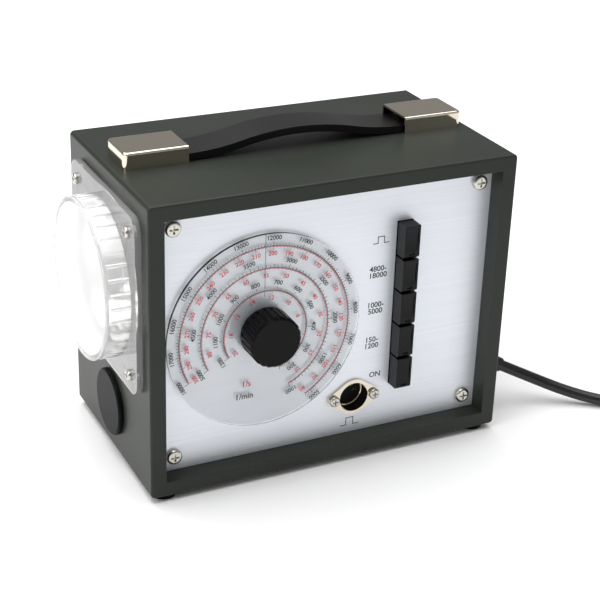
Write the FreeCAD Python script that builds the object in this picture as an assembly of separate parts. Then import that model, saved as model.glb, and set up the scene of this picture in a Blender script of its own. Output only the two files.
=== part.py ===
# Bench stroboscope: a small sheet-steel case with a xenon flash lamp on its left side,
# a turning scale disc, five push keys and a trigger socket on the front.
# Millimetres. +X runs to the right seen from the front, +Y to the back, +Z up.
# The origin is at the middle of the instrument's footprint, on the table.
import FreeCAD, Part
import math
import os

V = FreeCAD.Vector
X_AXIS = V(1, 0, 0)
Y_AXIS = V(0, 1, 0)
Z_AXIS = V(0, 0, 1)

# Case
CASE_W = 190.0          # outside width
CASE_D = 108.5          # outside depth
CASE_H = 149.0          # outside height
SHEET = 1.2             # steel sheet of the wrap
BEND_R = 2.2            # outside radius of the long folds
FRONT_EDGE_R = 1.2      # outside radius of the fold round the front
FRAME_W = 7.7           # width of the folded front frame
PANEL_RECESS = 9.9      # from the frame's face back to the panel's face
FOOT_H = 3.0            # height of the rubber feet that shows
COVER_PROUD = 15.2      # lamp cover's front beyond the case's left side
REAR_PROUD = 9.0        # fuse cap beyond the back of the case

# Front panel
PANEL_T = 2.0
PANEL_LAP = 3.0         # how far the panel laps behind the frame's reveal
SCREW_INSET_X = 15.0    # from each side of the case to the panel's fixing screws
SCREW_INSET_Z = 15.5
M4_D = 4.0
M4_HEAD_D = 8.0
M4_HEAD_H = 2.6
M3_D = 3.0
M3_HEAD_D = 5.6
M3_HEAD_H = 2.0
HOLE_CLEARANCE = 0.3    # added to a screw's radius where it passes through a plate
RAIL_W = 7.0            # twice the metal between a screw's centre and the rail's free edge
RAIL_D = 8.0            # depth of the tapped rails
RAIL_INSET = 8.0        # from each side of the case to the rails' ends

# Dial
DIAL_X = 61.0           # centre, from the case's left side
DIAL_Z = 74.2           # centre, from the case's underside
DISC_D = 100.0
DISC_T = 1.5
DISC_GAP = 0.8          # between the disc and the panel
KNOB_D = 26.0
KNOB_H = 13.1
KNOB_FLUTES = 24
KNOB_FLUTE_R = 0.9
KNOB_RECESS_D = 17.0    # hollow in the knob's back, clear of the nut
KNOB_RECESS = 2.2
KNOB_SKIRT = 1.6        # plain band at the knob's foot, below the flutes
KNOB_SHAFT_DEPTH = 10.0
GRUB_BACK = 6.0         # from the knob's back to the grub screw
GRUB_L = 5.0
SHAFT_D = 6.0
SHAFT_CLEARANCE = 0.05
BUSH_D = 9.0
POT_D = 24.0
POT_L = 18.0
POT_SHAFT_IN = 12.0     # how far the shaft runs into the can
NUT_AF = 12.0
NUT_T = 2.0

# Keys
KEY_COUNT = 5
KEY_X = 135.2           # centre line of the keys, from the case's left side
KEY_TOP_Z = 119.1       # top of the highest key, from the case's underside
KEY_PITCH = 17.8
KEY_GAP = 1.0
KEY_W = 8.3
KEY_PROUD = 7.9         # in front of the panel
KEY_TRAVEL = 3.0
KEY_CLEARANCE = 0.35    # between the keys and their slot
KEY_DISH = 0.5          # depth of the finger hollow
KEY_DISH_R = 40.0
KEY_RIM = 0.9           # flat border round the hollow
KEY_WINDOW_W = 2.8      # small sunk mark near the key's lower edge
KEY_WINDOW_H = 1.2
KEY_WINDOW_DEPTH = 0.6
BRACKET_T = 1.2
BRACKET_W = 18.0
BRACKET_REACH = 10.0    # plate beyond the slot, above and below, with room for the posts
STEM_W = 4.0
STEM_H = 6.0
STEM_L = 16.0
BANK_W = 14.0
BANK_D = 46.0
LUG_L = 4.0             # solder lugs behind the switches
LUG_W = 1.6
LUG_T = 0.8
LUG_PITCH = 5.0
LUG_ROWS_APART = 8.0

# Trigger socket
SOCKET_X = 111.0
SOCKET_Z = 27.8
SOCKET_PITCH = 22.2     # standard spacing of the two flange screws
SOCKET_BORE_D = 15.6
SOCKET_SHELL_T = 0.5
SOCKET_FLANGE_T = 1.2
SOCKET_DEPTH = 10.0
SOCKET_EAR_R = 3.4
SOCKET_BODY_R = 9.6
INSERT_T = 4.0
INSERT_D = 15.0         # behind a step at the bottom of the bore
PIN_D = 1.5
PIN_L = 8.0
PIN_RING_D = 7.0
PIN_COUNT = 5

# Lamp
LAMP_Z = 95.0           # axis, from the case's underside
COVER_PLATE_W = 90.0      # side of the square flange
COVER_PLATE_T = 3.0
COVER_CORNER_R = 8.0
COVER_PITCH = 72.0      # between the cover's screws
CUP_D = 79.0            # outside diameter of the cup
CUP_WALL = 2.0
CUP_RIBS = 36
CUP_RIB_R = 1.0
CUP_BEAD_W = 2.5        # smooth band round the cup's front
REFLECTOR_D = 73.0      # mouth of the reflector
REFLECTOR_DEPTH = 34.0
REFLECTOR_T = 0.8
REFLECTOR_RIM = 2.0     # flat rim that laps the case's wall
RING_T = 1.5            # plate that clamps the rim
RING_INSET = 2.0        # the clamp plate's edge inside the cover's
NECK_D = 24.0           # hole at the back of the reflector
HOLDER_D = 30.0
HOLDER_L = 12.0
BOSS_L = 3.0
TUBE_D = 5.0            # glass of the flash tube
TUBE_WALL = 0.8
TUBE_U_R = 7.5          # radius of the tube's bend
TUBE_LEG = 22.0

# Side plug
PLUG_CAP_Z = 25.9
PLUG_CAP_D = 34.0
PLUG_CAP_PROUD = 2.7
PLUG_SKIRT_D = 28.0
PLUG_SKIRT_L = 6.0

# Handle
HANDLE_Y = 57.6         # centre line, from the case's front
CAP_L = 32.0
CAP_W = 24.0
CAP_H = 8.5
CAP_WALL = 1.0
CAP_INSET = 5.5         # from each side of the case to the cap's outer end
STRAP_W = 20.0
STRAP_T = 3.6
STRAP_RISE = 6.8        # underside above the case at the middle
STRAP_SEAT = 0.3
STRAP_INSERT = 22.0     # length of strap inside each cap

# Feet
FOOT_D = 13.0
FOOT_INSET_X = 9.0      # from each side of the case to the feet's centres
FOOT_INSET_FRONT = 8.2
FOOT_INSET_REAR = 14.0
FOOT_NUT_AF = 5.5
FOOT_NUT_T = 2.2
FOOT_WELL = 2.2         # depth of the hollow for the screw's head

# Rear
BACK_T = 1.5
FUSE_D = 12.5
FUSE_CAP_D = 14.5
FUSE_L = 24.0
FUSE_COLLAR_T = 2.0
FUSE_BODY_D = 5.0       # cartridge
FUSE_BODY_L = 20.0
FUSE_X = 40.0
FUSE_Z = 30.0
VENT_COUNT = 9
VENT_PITCH = 7.0
VENT_W = 3.0
VENT_L = 26.0
VENT_X = 106.0          # first slot, from the case's left side
VENT_Z = 28.0

# Inside
TRAY_T = 1.5
CLAMP_T = 1.0           # steel of the transformer's clamp and the can's ring
CLAMP_W = 12.0
CLAMP_FOOT = 9.0
CORE_W = 44.0
CORE_D = 36.0
CORE_H = 36.0
COIL_OVER = 7.0         # winding proud of the core on each side
TRANSFORMER_X = 82.0
TRANSFORMER_BACK = 42.5  # from the back of the case to the core's centre
CAN_D = 30.0
CAN_H = 52.0
CAN_RIGHT = 24.0        # from the right side of the case to the can's centre
CAN_BACK = 36.5         # from the back of the case
CLIP_H = 14.0           # height of the can's steel ring
CLIP_FOOT_L = 9.0
CLIP_FOOT_W = 10.0
STUD_D = 4.0
STUD_H = 5.0
STUD_PITCH = 10.0
BOARD_W = 96.0
BOARD_H = 54.0
BOARD_T = 1.6
BOARD_X = 104.0
BOARD_Z = 100.0
STANDOFF_D = 6.0
STANDOFF_L = 12.0
BOARD_INSET = 5.0
ELCO_D = 10.0           # upright capacitors on the board
ELCO_L = 16.0
ELCO_X = 8.0            # first one, from the board's middle
ELCO_Z = 8.0
ELCO_PITCH = 12.0
ELCO_COUNT = 3
PULSE_W = 18.0          # potted pulse transformer
PULSE_H = 22.0
PULSE_L = 18.0
PULSE_X = -26.0         # from the board's middle
PULSE_Z = 2.0
SINK_X = 2.0            # heat sink, from the board's middle
SINK_Z = -12.0
SINK_W = 24.0
SINK_H = 17.0
SINK_BASE_T = 3.0
FIN_L = 11.0
FIN_T = 1.0
FIN_PITCH = 4.0
FIN_COUNT = 4

# Mains cord
CORD_D = 6.0
BOOT_ROOT_D = 11.0
BOOT_TIP_D = 7.6
BOOT_FLANGE_D = 15.0
BOOT_FLANGE_T = 1.6
CORD_ROUTE = [
    V(122.1, -29.5, 20.5),
    V(138.1, -35.5, 12.8),
    V(154.6, -47.0, 6.4),
    V(170.6, -59.0, 3.0),
    V(188.0, -72.0, 3.0),
    V(219.0, -88.0, 3.0),
]
COIL_TURNS = 3          # turns in each of the coil's two layers
COIL_PITCH = 6.7        # from turn to turn and from layer to layer
COIL_OUTER_R = 46.5     # centre line of the first turn
PLUG_D = 36.0
PLUG_L = 34.0
PLUG_NECK_L = 22.0
PLUG_PIN_D = 4.8
PLUG_PIN_L = 19.0
PLUG_PIN_PITCH = 19.0
PLUG_LIFT = 0.2         # the plug's round body above the table
TAIL_BACK = 55.0        # from the coil's end to the plug's neck, along the way out

# Places of the case's faces in the part's frame
DISC_FRONT = PANEL_RECESS - DISC_GAP - DISC_T
FRONT_PROUD = KNOB_H - DISC_FRONT
X_L = -(CASE_W + COVER_PROUD) / 2 + COVER_PROUD
X_R = X_L + CASE_W
Y_F = (FRONT_PROUD - CASE_D - REAR_PROUD) / 2
Y_B = Y_F + CASE_D
Z_B = FOOT_H
Z_T = Z_B + CASE_H
PANEL_Y = Y_F + PANEL_RECESS
PANEL_BACK = PANEL_Y + PANEL_T
FLOOR_Z = Z_B + SHEET
TRAY_TOP = FLOOR_Z + TRAY_T
MID_X = (X_L + X_R) / 2
MID_Y = (Y_F + Y_B) / 2
LAMP = V(X_L, MID_Y, Z_B + LAMP_Z)
DIAL = V(X_L + DIAL_X, PANEL_Y, Z_B + DIAL_Z)
SOCKET = V(X_L + SOCKET_X, PANEL_Y, Z_B + SOCKET_Z)
PANEL_SCREWS = [(x, z) for x in (X_L + SCREW_INSET_X, X_R - SCREW_INSET_X)
                for z in (Z_B + SCREW_INSET_Z, Z_T - SCREW_INSET_Z)]
KEY_NAMES = ["key_external", "key_high_range", "key_middle_range", "key_low_range", "key_mains"]


def box(x0, y0, z0, x1, y1, z1):
    """A block between two corners."""
    return Part.makeBox(x1 - x0, y1 - y0, z1 - z0, V(x0, y0, z0))


def rod(start, direction, diameter, length):
    """A round bar."""
    return Part.makeCylinder(diameter / 2, length, start, direction)


def cone(start, direction, diameter, end_diameter, length):
    """A round bar that tapers."""
    return Part.makeCone(diameter / 2, end_diameter / 2, length, start, direction)


def fused(shapes):
    """One solid from pieces that touch or overlap."""
    whole = shapes[0].fuse(shapes[1:])
    return whole.removeSplitter()


def edges_along(shape, axis, at=None):
    """The straight edges of a shape that run along an axis, or only those at given places."""
    found = []
    for edge in shape.Edges:
        if not isinstance(edge.Curve, (Part.Line, Part.LineSegment)):
            continue
        if abs(edge.tangentAt(edge.FirstParameter).dot(axis)) < 0.999:
            continue
        if at is None or at(edge.CenterOfMass):
            found.append(edge)
    return found


def save(name, shape):
    """Write one sub-part."""
    solids = shape.Solids
    body = solids[0] if len(solids) == 1 else Part.makeCompound(solids)
    assert all(s.isValid() for s in solids), name
    body.exportStep("parts/" + name + ".step")
    print(name, len(solids), round(sum(s.Volume for s in solids), 1))


def pan_screw(seat, direction, thread_d, head_d, head_h, length):
    """A pan-head screw with a cross recess. Its head stands off the seat along direction."""
    shank = rod(seat - direction * length, direction, thread_d, length)
    head = rod(seat, direction, head_d, head_h)
    rim = [e for e in head.Edges if abs((e.CenterOfMass - seat).dot(direction) - head_h) < 0.01]
    head = head.makeFillet(head_h * 0.55, rim)
    side = V(direction.y, direction.z, direction.x)
    other = direction.cross(side)
    arm = head_d * 0.27
    slot = head_d * 0.06
    depth = head_h * 0.5
    cross = []
    for along, across in ((side, other), (other, side)):
        corner = seat + direction * (head_h - depth) - along * arm - across * slot
        far = corner + along * (2 * arm) + across * (2 * slot) + direction * (depth + 1)
        low = V(min(corner.x, far.x), min(corner.y, far.y), min(corner.z, far.z))
        high = V(max(corner.x, far.x), max(corner.y, far.y), max(corner.z, far.z))
        cross.append(box(low.x, low.y, low.z, high.x, high.y, high.z))
    return fused([shank, head]).cut(cross)


def case_sleeve():
    """The painted wrap: four walls, a frame folded in round the front and a reveal behind it."""
    outer = box(X_L, Y_F, Z_B, X_R, Y_B, Z_T)
    outer = outer.makeFillet(BEND_R, edges_along(outer, Y_AXIS))
    front = [e for e in outer.Edges if abs(e.BoundBox.YMax - Y_F) < 0.01]
    outer = outer.makeFillet(FRONT_EDGE_R, front)
    inner = box(X_L + SHEET, Y_F + SHEET, Z_B + SHEET, X_R - SHEET, Y_B + 1, Z_T - SHEET)
    inner = inner.makeFillet(BEND_R - SHEET, edges_along(inner, Y_AXIS))
    inset = FRAME_W - SHEET
    reveal = box(X_L + inset, Y_F + SHEET / 2, Z_B + inset, X_R - inset, PANEL_Y, Z_T - inset)
    mouth = box(X_L + FRAME_W, Y_F - 1, Z_B + FRAME_W, X_R - FRAME_W, PANEL_Y + 1, Z_T - FRAME_W)
    sleeve = fused([outer.cut(inner), reveal]).cut(mouth)
    lamp_hole = rod(LAMP - X_AXIS, X_AXIS, REFLECTOR_D, SHEET + 2)
    plug_hole = rod(V(X_L - 1, MID_Y, Z_B + PLUG_CAP_Z), X_AXIS, PLUG_SKIRT_D, SHEET + 2)
    holes = [lamp_hole, plug_hole]
    for y, z in cover_screw_places():
        holes.append(rod(V(X_L - 1, y, z), X_AXIS, M3_D + 2 * HOLE_CLEARANCE, SHEET + 2))
    for x in cap_centres():
        hole_d = M4_D + 2 * HOLE_CLEARANCE
        holes.append(rod(V(x, Y_F + HANDLE_Y, Z_T - SHEET - 1), Z_AXIS, hole_d, SHEET + 2))
    for x, y in foot_places():
        holes.append(rod(V(x, y, Z_B - 1), Z_AXIS, M3_D + 2 * HOLE_CLEARANCE, SHEET + 2))
    start, heading = boot_start()
    holes.append(rod(V(X_R - SHEET - 1, start.y, start.z), X_AXIS, BOOT_ROOT_D, SHEET + 2))
    return sleeve.cut(holes)


def cover_screw_places():
    """Where the lamp cover's four screws go through the case's left wall."""
    half = COVER_PITCH / 2
    return [(LAMP.y + sy * half, LAMP.z + sz * half) for sy in (-1, 1) for sz in (-1, 1)]


def foot_places():
    """Centres of the four feet."""
    return [(x, y) for x in (X_L + FOOT_INSET_X, X_R - FOOT_INSET_X)
            for y in (Y_F + FOOT_INSET_FRONT, Y_B - FOOT_INSET_REAR)]


def cap_centres():
    """X of the middle of each handle cap."""
    return [X_L + CAP_INSET + CAP_L / 2, X_R - CAP_INSET - CAP_L / 2]


def key_slot():
    """Low and high corners, in X and Z, of the slot that the keys share."""
    x = X_L + KEY_X
    top = Z_B + KEY_TOP_Z
    bottom = top - KEY_COUNT * KEY_PITCH + KEY_GAP
    side = KEY_W / 2 + KEY_CLEARANCE
    return x - side, bottom - KEY_CLEARANCE, x + side, top + KEY_CLEARANCE


def front_panel():
    """The brushed aluminium plate, seated on the end of the reveal."""
    lap = FRAME_W - PANEL_LAP
    plate = box(X_L + lap, PANEL_Y, Z_B + lap, X_R - lap, PANEL_BACK, Z_T - lap)
    x0, z0, x1, z1 = key_slot()
    depth = PANEL_T + 2
    cuts = [box(x0, PANEL_Y - 1, z0, x1, PANEL_BACK + 1, z1)]
    cuts.append(rod(DIAL - Y_AXIS, Y_AXIS, BUSH_D + 2 * HOLE_CLEARANCE, depth))
    shell_d = SOCKET_BORE_D + 2 * SOCKET_SHELL_T + 2 * HOLE_CLEARANCE
    cuts.append(rod(SOCKET - Y_AXIS, Y_AXIS, shell_d, depth))
    for side in (-1, 1):
        place = SOCKET + V(side * SOCKET_PITCH / 2, -1, 0)
        cuts.append(rod(place, Y_AXIS, M3_D + 2 * HOLE_CLEARANCE, depth))
    for x, z in PANEL_SCREWS:
        cuts.append(rod(V(x, PANEL_Y - 1, z), Y_AXIS, M4_D + 2 * HOLE_CLEARANCE, depth))
    return plate.cut(cuts)


def fixing_rails(y0):
    """Two tapped steel bars, one welded under the case's top and one on its floor."""
    bars = []
    for side, wall, z in ((-1, Z_B + SHEET, Z_B + SCREW_INSET_Z), (1, Z_T - SHEET, Z_T - SCREW_INSET_Z)):
        edge = z - side * RAIL_W / 2
        low, high = min(edge, wall), max(edge, wall)
        bar = box(X_L + RAIL_INSET, y0, low, X_R - RAIL_INSET, y0 + RAIL_D, high)
        cuts = [rod(V(x, y0 - 1, z), Y_AXIS, M4_D, RAIL_D + 2) for x, zz in PANEL_SCREWS if zz == z]
        bars.append(bar.cut(cuts))
    return Part.makeCompound(bars)


def panel_screws(y, direction, thickness):
    """Four pan-head screws through a panel into its rails."""
    seat_points = [V(x, y, z) for x, z in PANEL_SCREWS]
    length = thickness + RAIL_D - 1
    return Part.makeCompound([pan_screw(p, direction, M4_D, M4_HEAD_D, M4_HEAD_H, length)
                              for p in seat_points])


def scale_disc():
    """The clear acrylic disc that carries the printed scales and turns with the knob."""
    front = V(DIAL.x, Y_F + DISC_FRONT, DIAL.z)
    disc = rod(front, Y_AXIS, DISC_D, DISC_T)
    return disc.cut(rod(front - Y_AXIS, Y_AXIS, KNOB_RECESS_D, DISC_T + 2))


def knob_back():
    """The middle of the knob's back face, which lies on the disc."""
    return V(DIAL.x, Y_F + DISC_FRONT, DIAL.z)


def knob():
    """The moulded control knob with a fluted grip."""
    back = knob_back()
    body = rod(back, -Y_AXIS, KNOB_D, KNOB_H)
    front_rim = [e for e in body.Edges if abs(e.CenterOfMass.y - (back.y - KNOB_H)) < 0.01]
    body = body.makeChamfer(1.2, front_rim)
    cuts = [rod(back + Y_AXIS, -Y_AXIS, KNOB_RECESS_D, KNOB_RECESS + 1)]
    cuts.append(rod(back, -Y_AXIS, SHAFT_D, KNOB_SHAFT_DEPTH))
    cuts.append(rod(back - Y_AXIS * GRUB_BACK - Z_AXIS * (SHAFT_D / 2 - 0.5), -Z_AXIS, M4_D, KNOB_D))
    for i in range(KNOB_FLUTES):
        angle = 2 * math.pi * (i + 0.5) / KNOB_FLUTES
        reach = KNOB_D / 2 + KNOB_FLUTE_R * 0.35
        place = back + V(math.cos(angle) * reach, -KNOB_SKIRT, math.sin(angle) * reach)
        cuts.append(rod(place, -Y_AXIS, 2 * KNOB_FLUTE_R, KNOB_H))
    return body.cut(cuts)


def knob_grub_screw():
    """The headless screw that locks the knob to the shaft."""
    start = knob_back() - Y_AXIS * GRUB_BACK - Z_AXIS * (SHAFT_D / 2)
    screw = rod(start, -Z_AXIS, M4_D, GRUB_L)
    end = start - Z_AXIS * GRUB_L
    slot = box(end.x - M4_D, end.y - 0.4, end.z - 1, end.x + M4_D, end.y + 0.4, end.z + 1)
    return screw.cut(slot)


def potentiometer_shaft():
    """The turning steel shaft."""
    front = knob_back() - Y_AXIS * (KNOB_SHAFT_DEPTH - 0.5)
    length = PANEL_BACK + POT_SHAFT_IN - front.y
    return rod(front, Y_AXIS, SHAFT_D, length)


def potentiometer():
    """The frequency control: a threaded bush and a round can behind the panel."""
    back = V(DIAL.x, PANEL_BACK, DIAL.z)
    can = rod(back, Y_AXIS, POT_D, POT_L)
    bush_front = V(DIAL.x, PANEL_Y - NUT_T - 0.4, DIAL.z)
    bush = rod(bush_front, Y_AXIS, BUSH_D, back.y - bush_front.y + 1)
    tags = [box(DIAL.x + dx - 1.2, back.y + 3, DIAL.z - POT_D / 2 - 6,
                DIAL.x + dx + 1.2, back.y + 3.8, DIAL.z - POT_D / 2 + 2) for dx in (-5, 0, 5)]
    bore_d = SHAFT_D + 2 * SHAFT_CLEARANCE
    bore = rod(bush_front - Y_AXIS, Y_AXIS, bore_d, back.y - bush_front.y + 1 + POT_SHAFT_IN + 1)
    return fused([can, bush] + tags).cut(bore)


def hexagon(centre, direction, across_flats, hole_d, thickness):
    """A hexagon nut standing on centre towards direction. Two of its flats face along side."""
    side = V(direction.y, direction.z, direction.x)
    other = direction.cross(side)
    radius = across_flats / 2 / math.cos(math.pi / 6)
    corners = []
    for i in range(7):
        angle = math.pi * (2 * i + 1) / 6
        corners.append(centre + side * (math.cos(angle) * radius) + other * (math.sin(angle) * radius))
    face = Part.Face(Part.makePolygon(corners))
    nut = face.extrude(direction * thickness)
    return nut.cut(rod(centre - direction, direction, hole_d, thickness + 2))


def potentiometer_nut():
    """The nut that clamps the control's bush to the panel."""
    return hexagon(DIAL, -Y_AXIS, NUT_AF, BUSH_D, NUT_T)


def key_top(index):
    """Top of one key, counted from the highest."""
    return Z_B + KEY_TOP_Z - index * KEY_PITCH


def key(index):
    """One push key: a moulded cap on a flat stem."""
    x = X_L + KEY_X
    top = key_top(index)
    height = KEY_PITCH - KEY_GAP
    front = PANEL_Y - KEY_PROUD
    cap = box(x - KEY_W / 2, front, top - height, x + KEY_W / 2, PANEL_BACK, top)
    lip = [e for e in edges_along(cap, X_AXIS, lambda c: c.y < front + 0.01 and c.z < top - 1)]
    cap = cap.makeChamfer(1.0, lip)
    dish_axis = V(x - KEY_W, front - KEY_DISH_R + KEY_DISH, top - height * 0.42)
    dish = rod(dish_axis, X_AXIS, 2 * KEY_DISH_R, 2 * KEY_W)
    half = KEY_W / 2 - KEY_RIM
    inner = box(x - half, front - 1, top - height * 0.82, x + half, front + 2, top - KEY_RIM)
    cap = cap.cut(dish.common(inner))
    window_z = top - height * 0.87
    window = box(x - KEY_WINDOW_W / 2, front, window_z - KEY_WINDOW_H / 2,
                 x + KEY_WINDOW_W / 2, front + KEY_WINDOW_DEPTH, window_z + KEY_WINDOW_H / 2)
    mid = top - height / 2
    stem = box(x - STEM_W / 2, PANEL_BACK, mid - STEM_H / 2,
               x + STEM_W / 2, PANEL_BACK + STEM_L, mid + STEM_H / 2)
    return fused([cap, stem]).cut(window)


def bank_front():
    """Y of the switch modules' front."""
    return PANEL_BACK + KEY_TRAVEL + 1.0


def key_switch_bank():
    """Five latching switch modules, one behind each key."""
    x = X_L + KEY_X
    y0 = bank_front()
    modules = []
    for i in range(KEY_COUNT):
        mid = key_top(i) - (KEY_PITCH - KEY_GAP) / 2
        half = KEY_PITCH / 2 - 0.3
        block = box(x - BANK_W / 2, y0, mid - half, x + BANK_W / 2, y0 + BANK_D, mid + half)
        gap = KEY_CLEARANCE
        depth = STEM_L + KEY_TRAVEL
        channel = box(x - STEM_W / 2 - gap, y0 - 1, mid - STEM_H / 2 - gap,
                      x + STEM_W / 2 + gap, y0 + depth, mid + STEM_H / 2 + gap)
        lugs = []
        for side in (-1, 1):
            for row in (-1, 0, 1):
                lug_x = x + side * LUG_ROWS_APART / 2
                lug_z = mid + row * LUG_PITCH
                lugs.append(box(lug_x - LUG_T / 2, y0 + BANK_D, lug_z - LUG_W / 2,
                                lug_x + LUG_T / 2, y0 + BANK_D + LUG_L, lug_z + LUG_W / 2))
        modules.append(fused([block.cut(channel)] + lugs))
    return Part.makeCompound(modules)


def key_bank_bracket():
    """The steel plate that carries the switch modules on posts behind the panel."""
    x = X_L + KEY_X
    y1 = bank_front()
    x0, z0, x1, z1 = key_slot()
    reach = BRACKET_REACH
    half = BRACKET_W / 2
    plate = box(x - half, y1 - BRACKET_T, z0 - reach, x + half, y1, z1 + reach)
    window = box(x0, y1 - BRACKET_T - 1, z0, x1, y1 + 1, z1)
    posts = [rod(V(x, PANEL_BACK, z), Y_AXIS, STANDOFF_D, y1 - PANEL_BACK)
             for z in (z0 - reach / 2, z1 + reach / 2)]
    return fused([plate.cut(window)] + posts)


def leaf_flange(y, thickness):
    """The socket's flange: a round middle with two tangent ears."""
    spread = SOCKET_PITCH / 2
    turn = math.acos((SOCKET_BODY_R - SOCKET_EAR_R) / spread)

    def at(centre_x, radius, angle):
        return V(SOCKET.x + centre_x + radius * math.cos(angle), y, SOCKET.z + radius * math.sin(angle))

    big, ear = SOCKET_BODY_R, SOCKET_EAR_R
    edges = [
        Part.Arc(at(0, big, turn), at(0, big, math.pi / 2), at(0, big, math.pi - turn)).toShape(),
        Part.LineSegment(at(0, big, math.pi - turn), at(-spread, ear, math.pi - turn)).toShape(),
        Part.Arc(at(-spread, ear, math.pi - turn), at(-spread, ear, math.pi),
                 at(-spread, ear, math.pi + turn)).toShape(),
        Part.LineSegment(at(-spread, ear, math.pi + turn), at(0, big, math.pi + turn)).toShape(),
        Part.Arc(at(0, big, math.pi + turn), at(0, big, -math.pi / 2), at(0, big, -turn)).toShape(),
        Part.LineSegment(at(0, big, -turn), at(spread, ear, -turn)).toShape(),
        Part.Arc(at(spread, ear, -turn), at(spread, ear, 0), at(spread, ear, turn)).toShape(),
        Part.LineSegment(at(spread, ear, turn), at(0, big, turn)).toShape(),
    ]
    return Part.Face(Part.Wire(edges)).extrude(V(0, thickness, 0))


def trigger_socket_shell():
    """The nickel-plated round socket shell with its screw flange."""
    flange = leaf_flange(PANEL_Y - SOCKET_FLANGE_T, SOCKET_FLANGE_T)
    outer_d = SOCKET_BORE_D + 2 * SOCKET_SHELL_T
    sleeve = rod(SOCKET, Y_AXIS, outer_d, SOCKET_DEPTH)
    cuts = [rod(SOCKET - Y_AXIS * 2, Y_AXIS, SOCKET_BORE_D, SOCKET_DEPTH - INSERT_T + 2)]
    cuts.append(rod(SOCKET, Y_AXIS, INSERT_D, SOCKET_DEPTH + 1))
    for side in (-1, 1):
        cuts.append(rod(SOCKET + V(side * SOCKET_PITCH / 2, -3, 0), Y_AXIS, M3_D + 0.4, 6))
    return fused([flange, sleeve]).cut(cuts)


def socket_pin_places():
    """Where the socket's contacts stand, on a half circle."""
    start = SOCKET + Y_AXIS * (SOCKET_DEPTH - INSERT_T)
    places = []
    for i in range(PIN_COUNT):
        angle = math.pi * i / (PIN_COUNT - 1)
        places.append(start + V(math.cos(angle), 0, math.sin(angle)) * (PIN_RING_D / 2))
    return places


def trigger_socket_insert():
    """The insulating disc at the bottom of the socket."""
    start = SOCKET + Y_AXIS * (SOCKET_DEPTH - INSERT_T)
    disc = rod(start, Y_AXIS, INSERT_D - 0.1, INSERT_T)
    return disc.cut([rod(p - Y_AXIS, Y_AXIS, PIN_D, INSERT_T + 2) for p in socket_pin_places()])


def trigger_socket_contacts():
    """Five hollow contacts with solder tails."""
    pins = []
    for p in socket_pin_places():
        pin = rod(p + Y_AXIS * 0.4, Y_AXIS, PIN_D, PIN_L)
        pins.append(pin.cut(rod(p, Y_AXIS, PIN_D * 0.6, INSERT_T * 0.8)))
    return Part.makeCompound(pins)


def trigger_socket_screws():
    """Two small pan-head screws through the flange."""
    seats = [SOCKET + V(side * SOCKET_PITCH / 2, -SOCKET_FLANGE_T, 0) for side in (-1, 1)]
    return Part.makeCompound([pan_screw(p, -Y_AXIS, M3_D, M3_HEAD_D, M3_HEAD_H, 7.0) for p in seats])


def trigger_socket_nuts():
    """Nuts behind the panel on the socket's screws."""
    seats = [SOCKET + V(side * SOCKET_PITCH / 2, PANEL_T, 0) for side in (-1, 1)]
    return Part.makeCompound([hexagon(p, Y_AXIS, 5.5, M3_D, 2.2) for p in seats])


def ribbed_circle(x, diameter, ribs, rib_r):
    """A closed outline square to X: a circle with small round ribs standing on it."""
    radius = diameter / 2
    half = rib_r / radius
    edges = []

    def at(r, angle):
        return V(x, LAMP.y + r * math.cos(angle), LAMP.z + r * math.sin(angle))

    for i in range(ribs):
        middle = 2 * math.pi * i / ribs
        after = middle + 2 * math.pi / ribs
        edges.append(Part.Arc(at(radius, middle - half), at(radius + rib_r * 0.7, middle),
                              at(radius, middle + half)).toShape())
        edges.append(Part.Arc(at(radius, middle + half), at(radius, (middle + after) / 2),
                              at(radius, after - half)).toShape())
    return Part.Wire(edges)


def lamp_cover():
    """The clear moulded cover: a square flange and a ribbed cup with a flat front."""
    half = COVER_PLATE_W / 2
    outside = X_L - COVER_PLATE_T
    plate = box(outside, LAMP.y - half, LAMP.z - half, X_L, LAMP.y + half, LAMP.z + half)
    plate = plate.makeFillet(COVER_CORNER_R, edges_along(plate, X_AXIS))
    front = X_L - COVER_PROUD
    core_d = CUP_D - 2 * CUP_RIB_R * 0.7
    grip = Part.Face(ribbed_circle(front + CUP_BEAD_W, core_d, CUP_RIBS, CUP_RIB_R))
    wall = grip.extrude(V(outside - front - CUP_BEAD_W + 0.5, 0, 0))
    rim = rod(V(front, LAMP.y, LAMP.z), X_AXIS, CUP_D, CUP_BEAD_W)
    rim = rim.makeFillet(0.8, [e for e in rim.Edges if abs(e.CenterOfMass.x - front) < 0.01])
    hollow_d = core_d - 2 * CUP_WALL
    hollow = rod(V(front + CUP_WALL, LAMP.y, LAMP.z), X_AXIS, hollow_d, COVER_PROUD)
    cuts = [hollow]
    for y, z in cover_screw_places():
        cuts.append(rod(V(outside - 1, y, z), X_AXIS, M3_D + 2 * HOLE_CLEARANCE, COVER_PLATE_T + 2))
    return fused([plate, wall, rim]).cut(cuts)


def lamp_cover_screws():
    """Four pan-head screws through the cover's corners."""
    seats = [V(X_L - COVER_PLATE_T, y, z) for y, z in cover_screw_places()]
    length = COVER_PLATE_T + SHEET + REFLECTOR_T + RING_T + 0.8
    return Part.makeCompound([pan_screw(p, -X_AXIS, M3_D, M3_HEAD_D, M3_HEAD_H, length) for p in seats])


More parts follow.
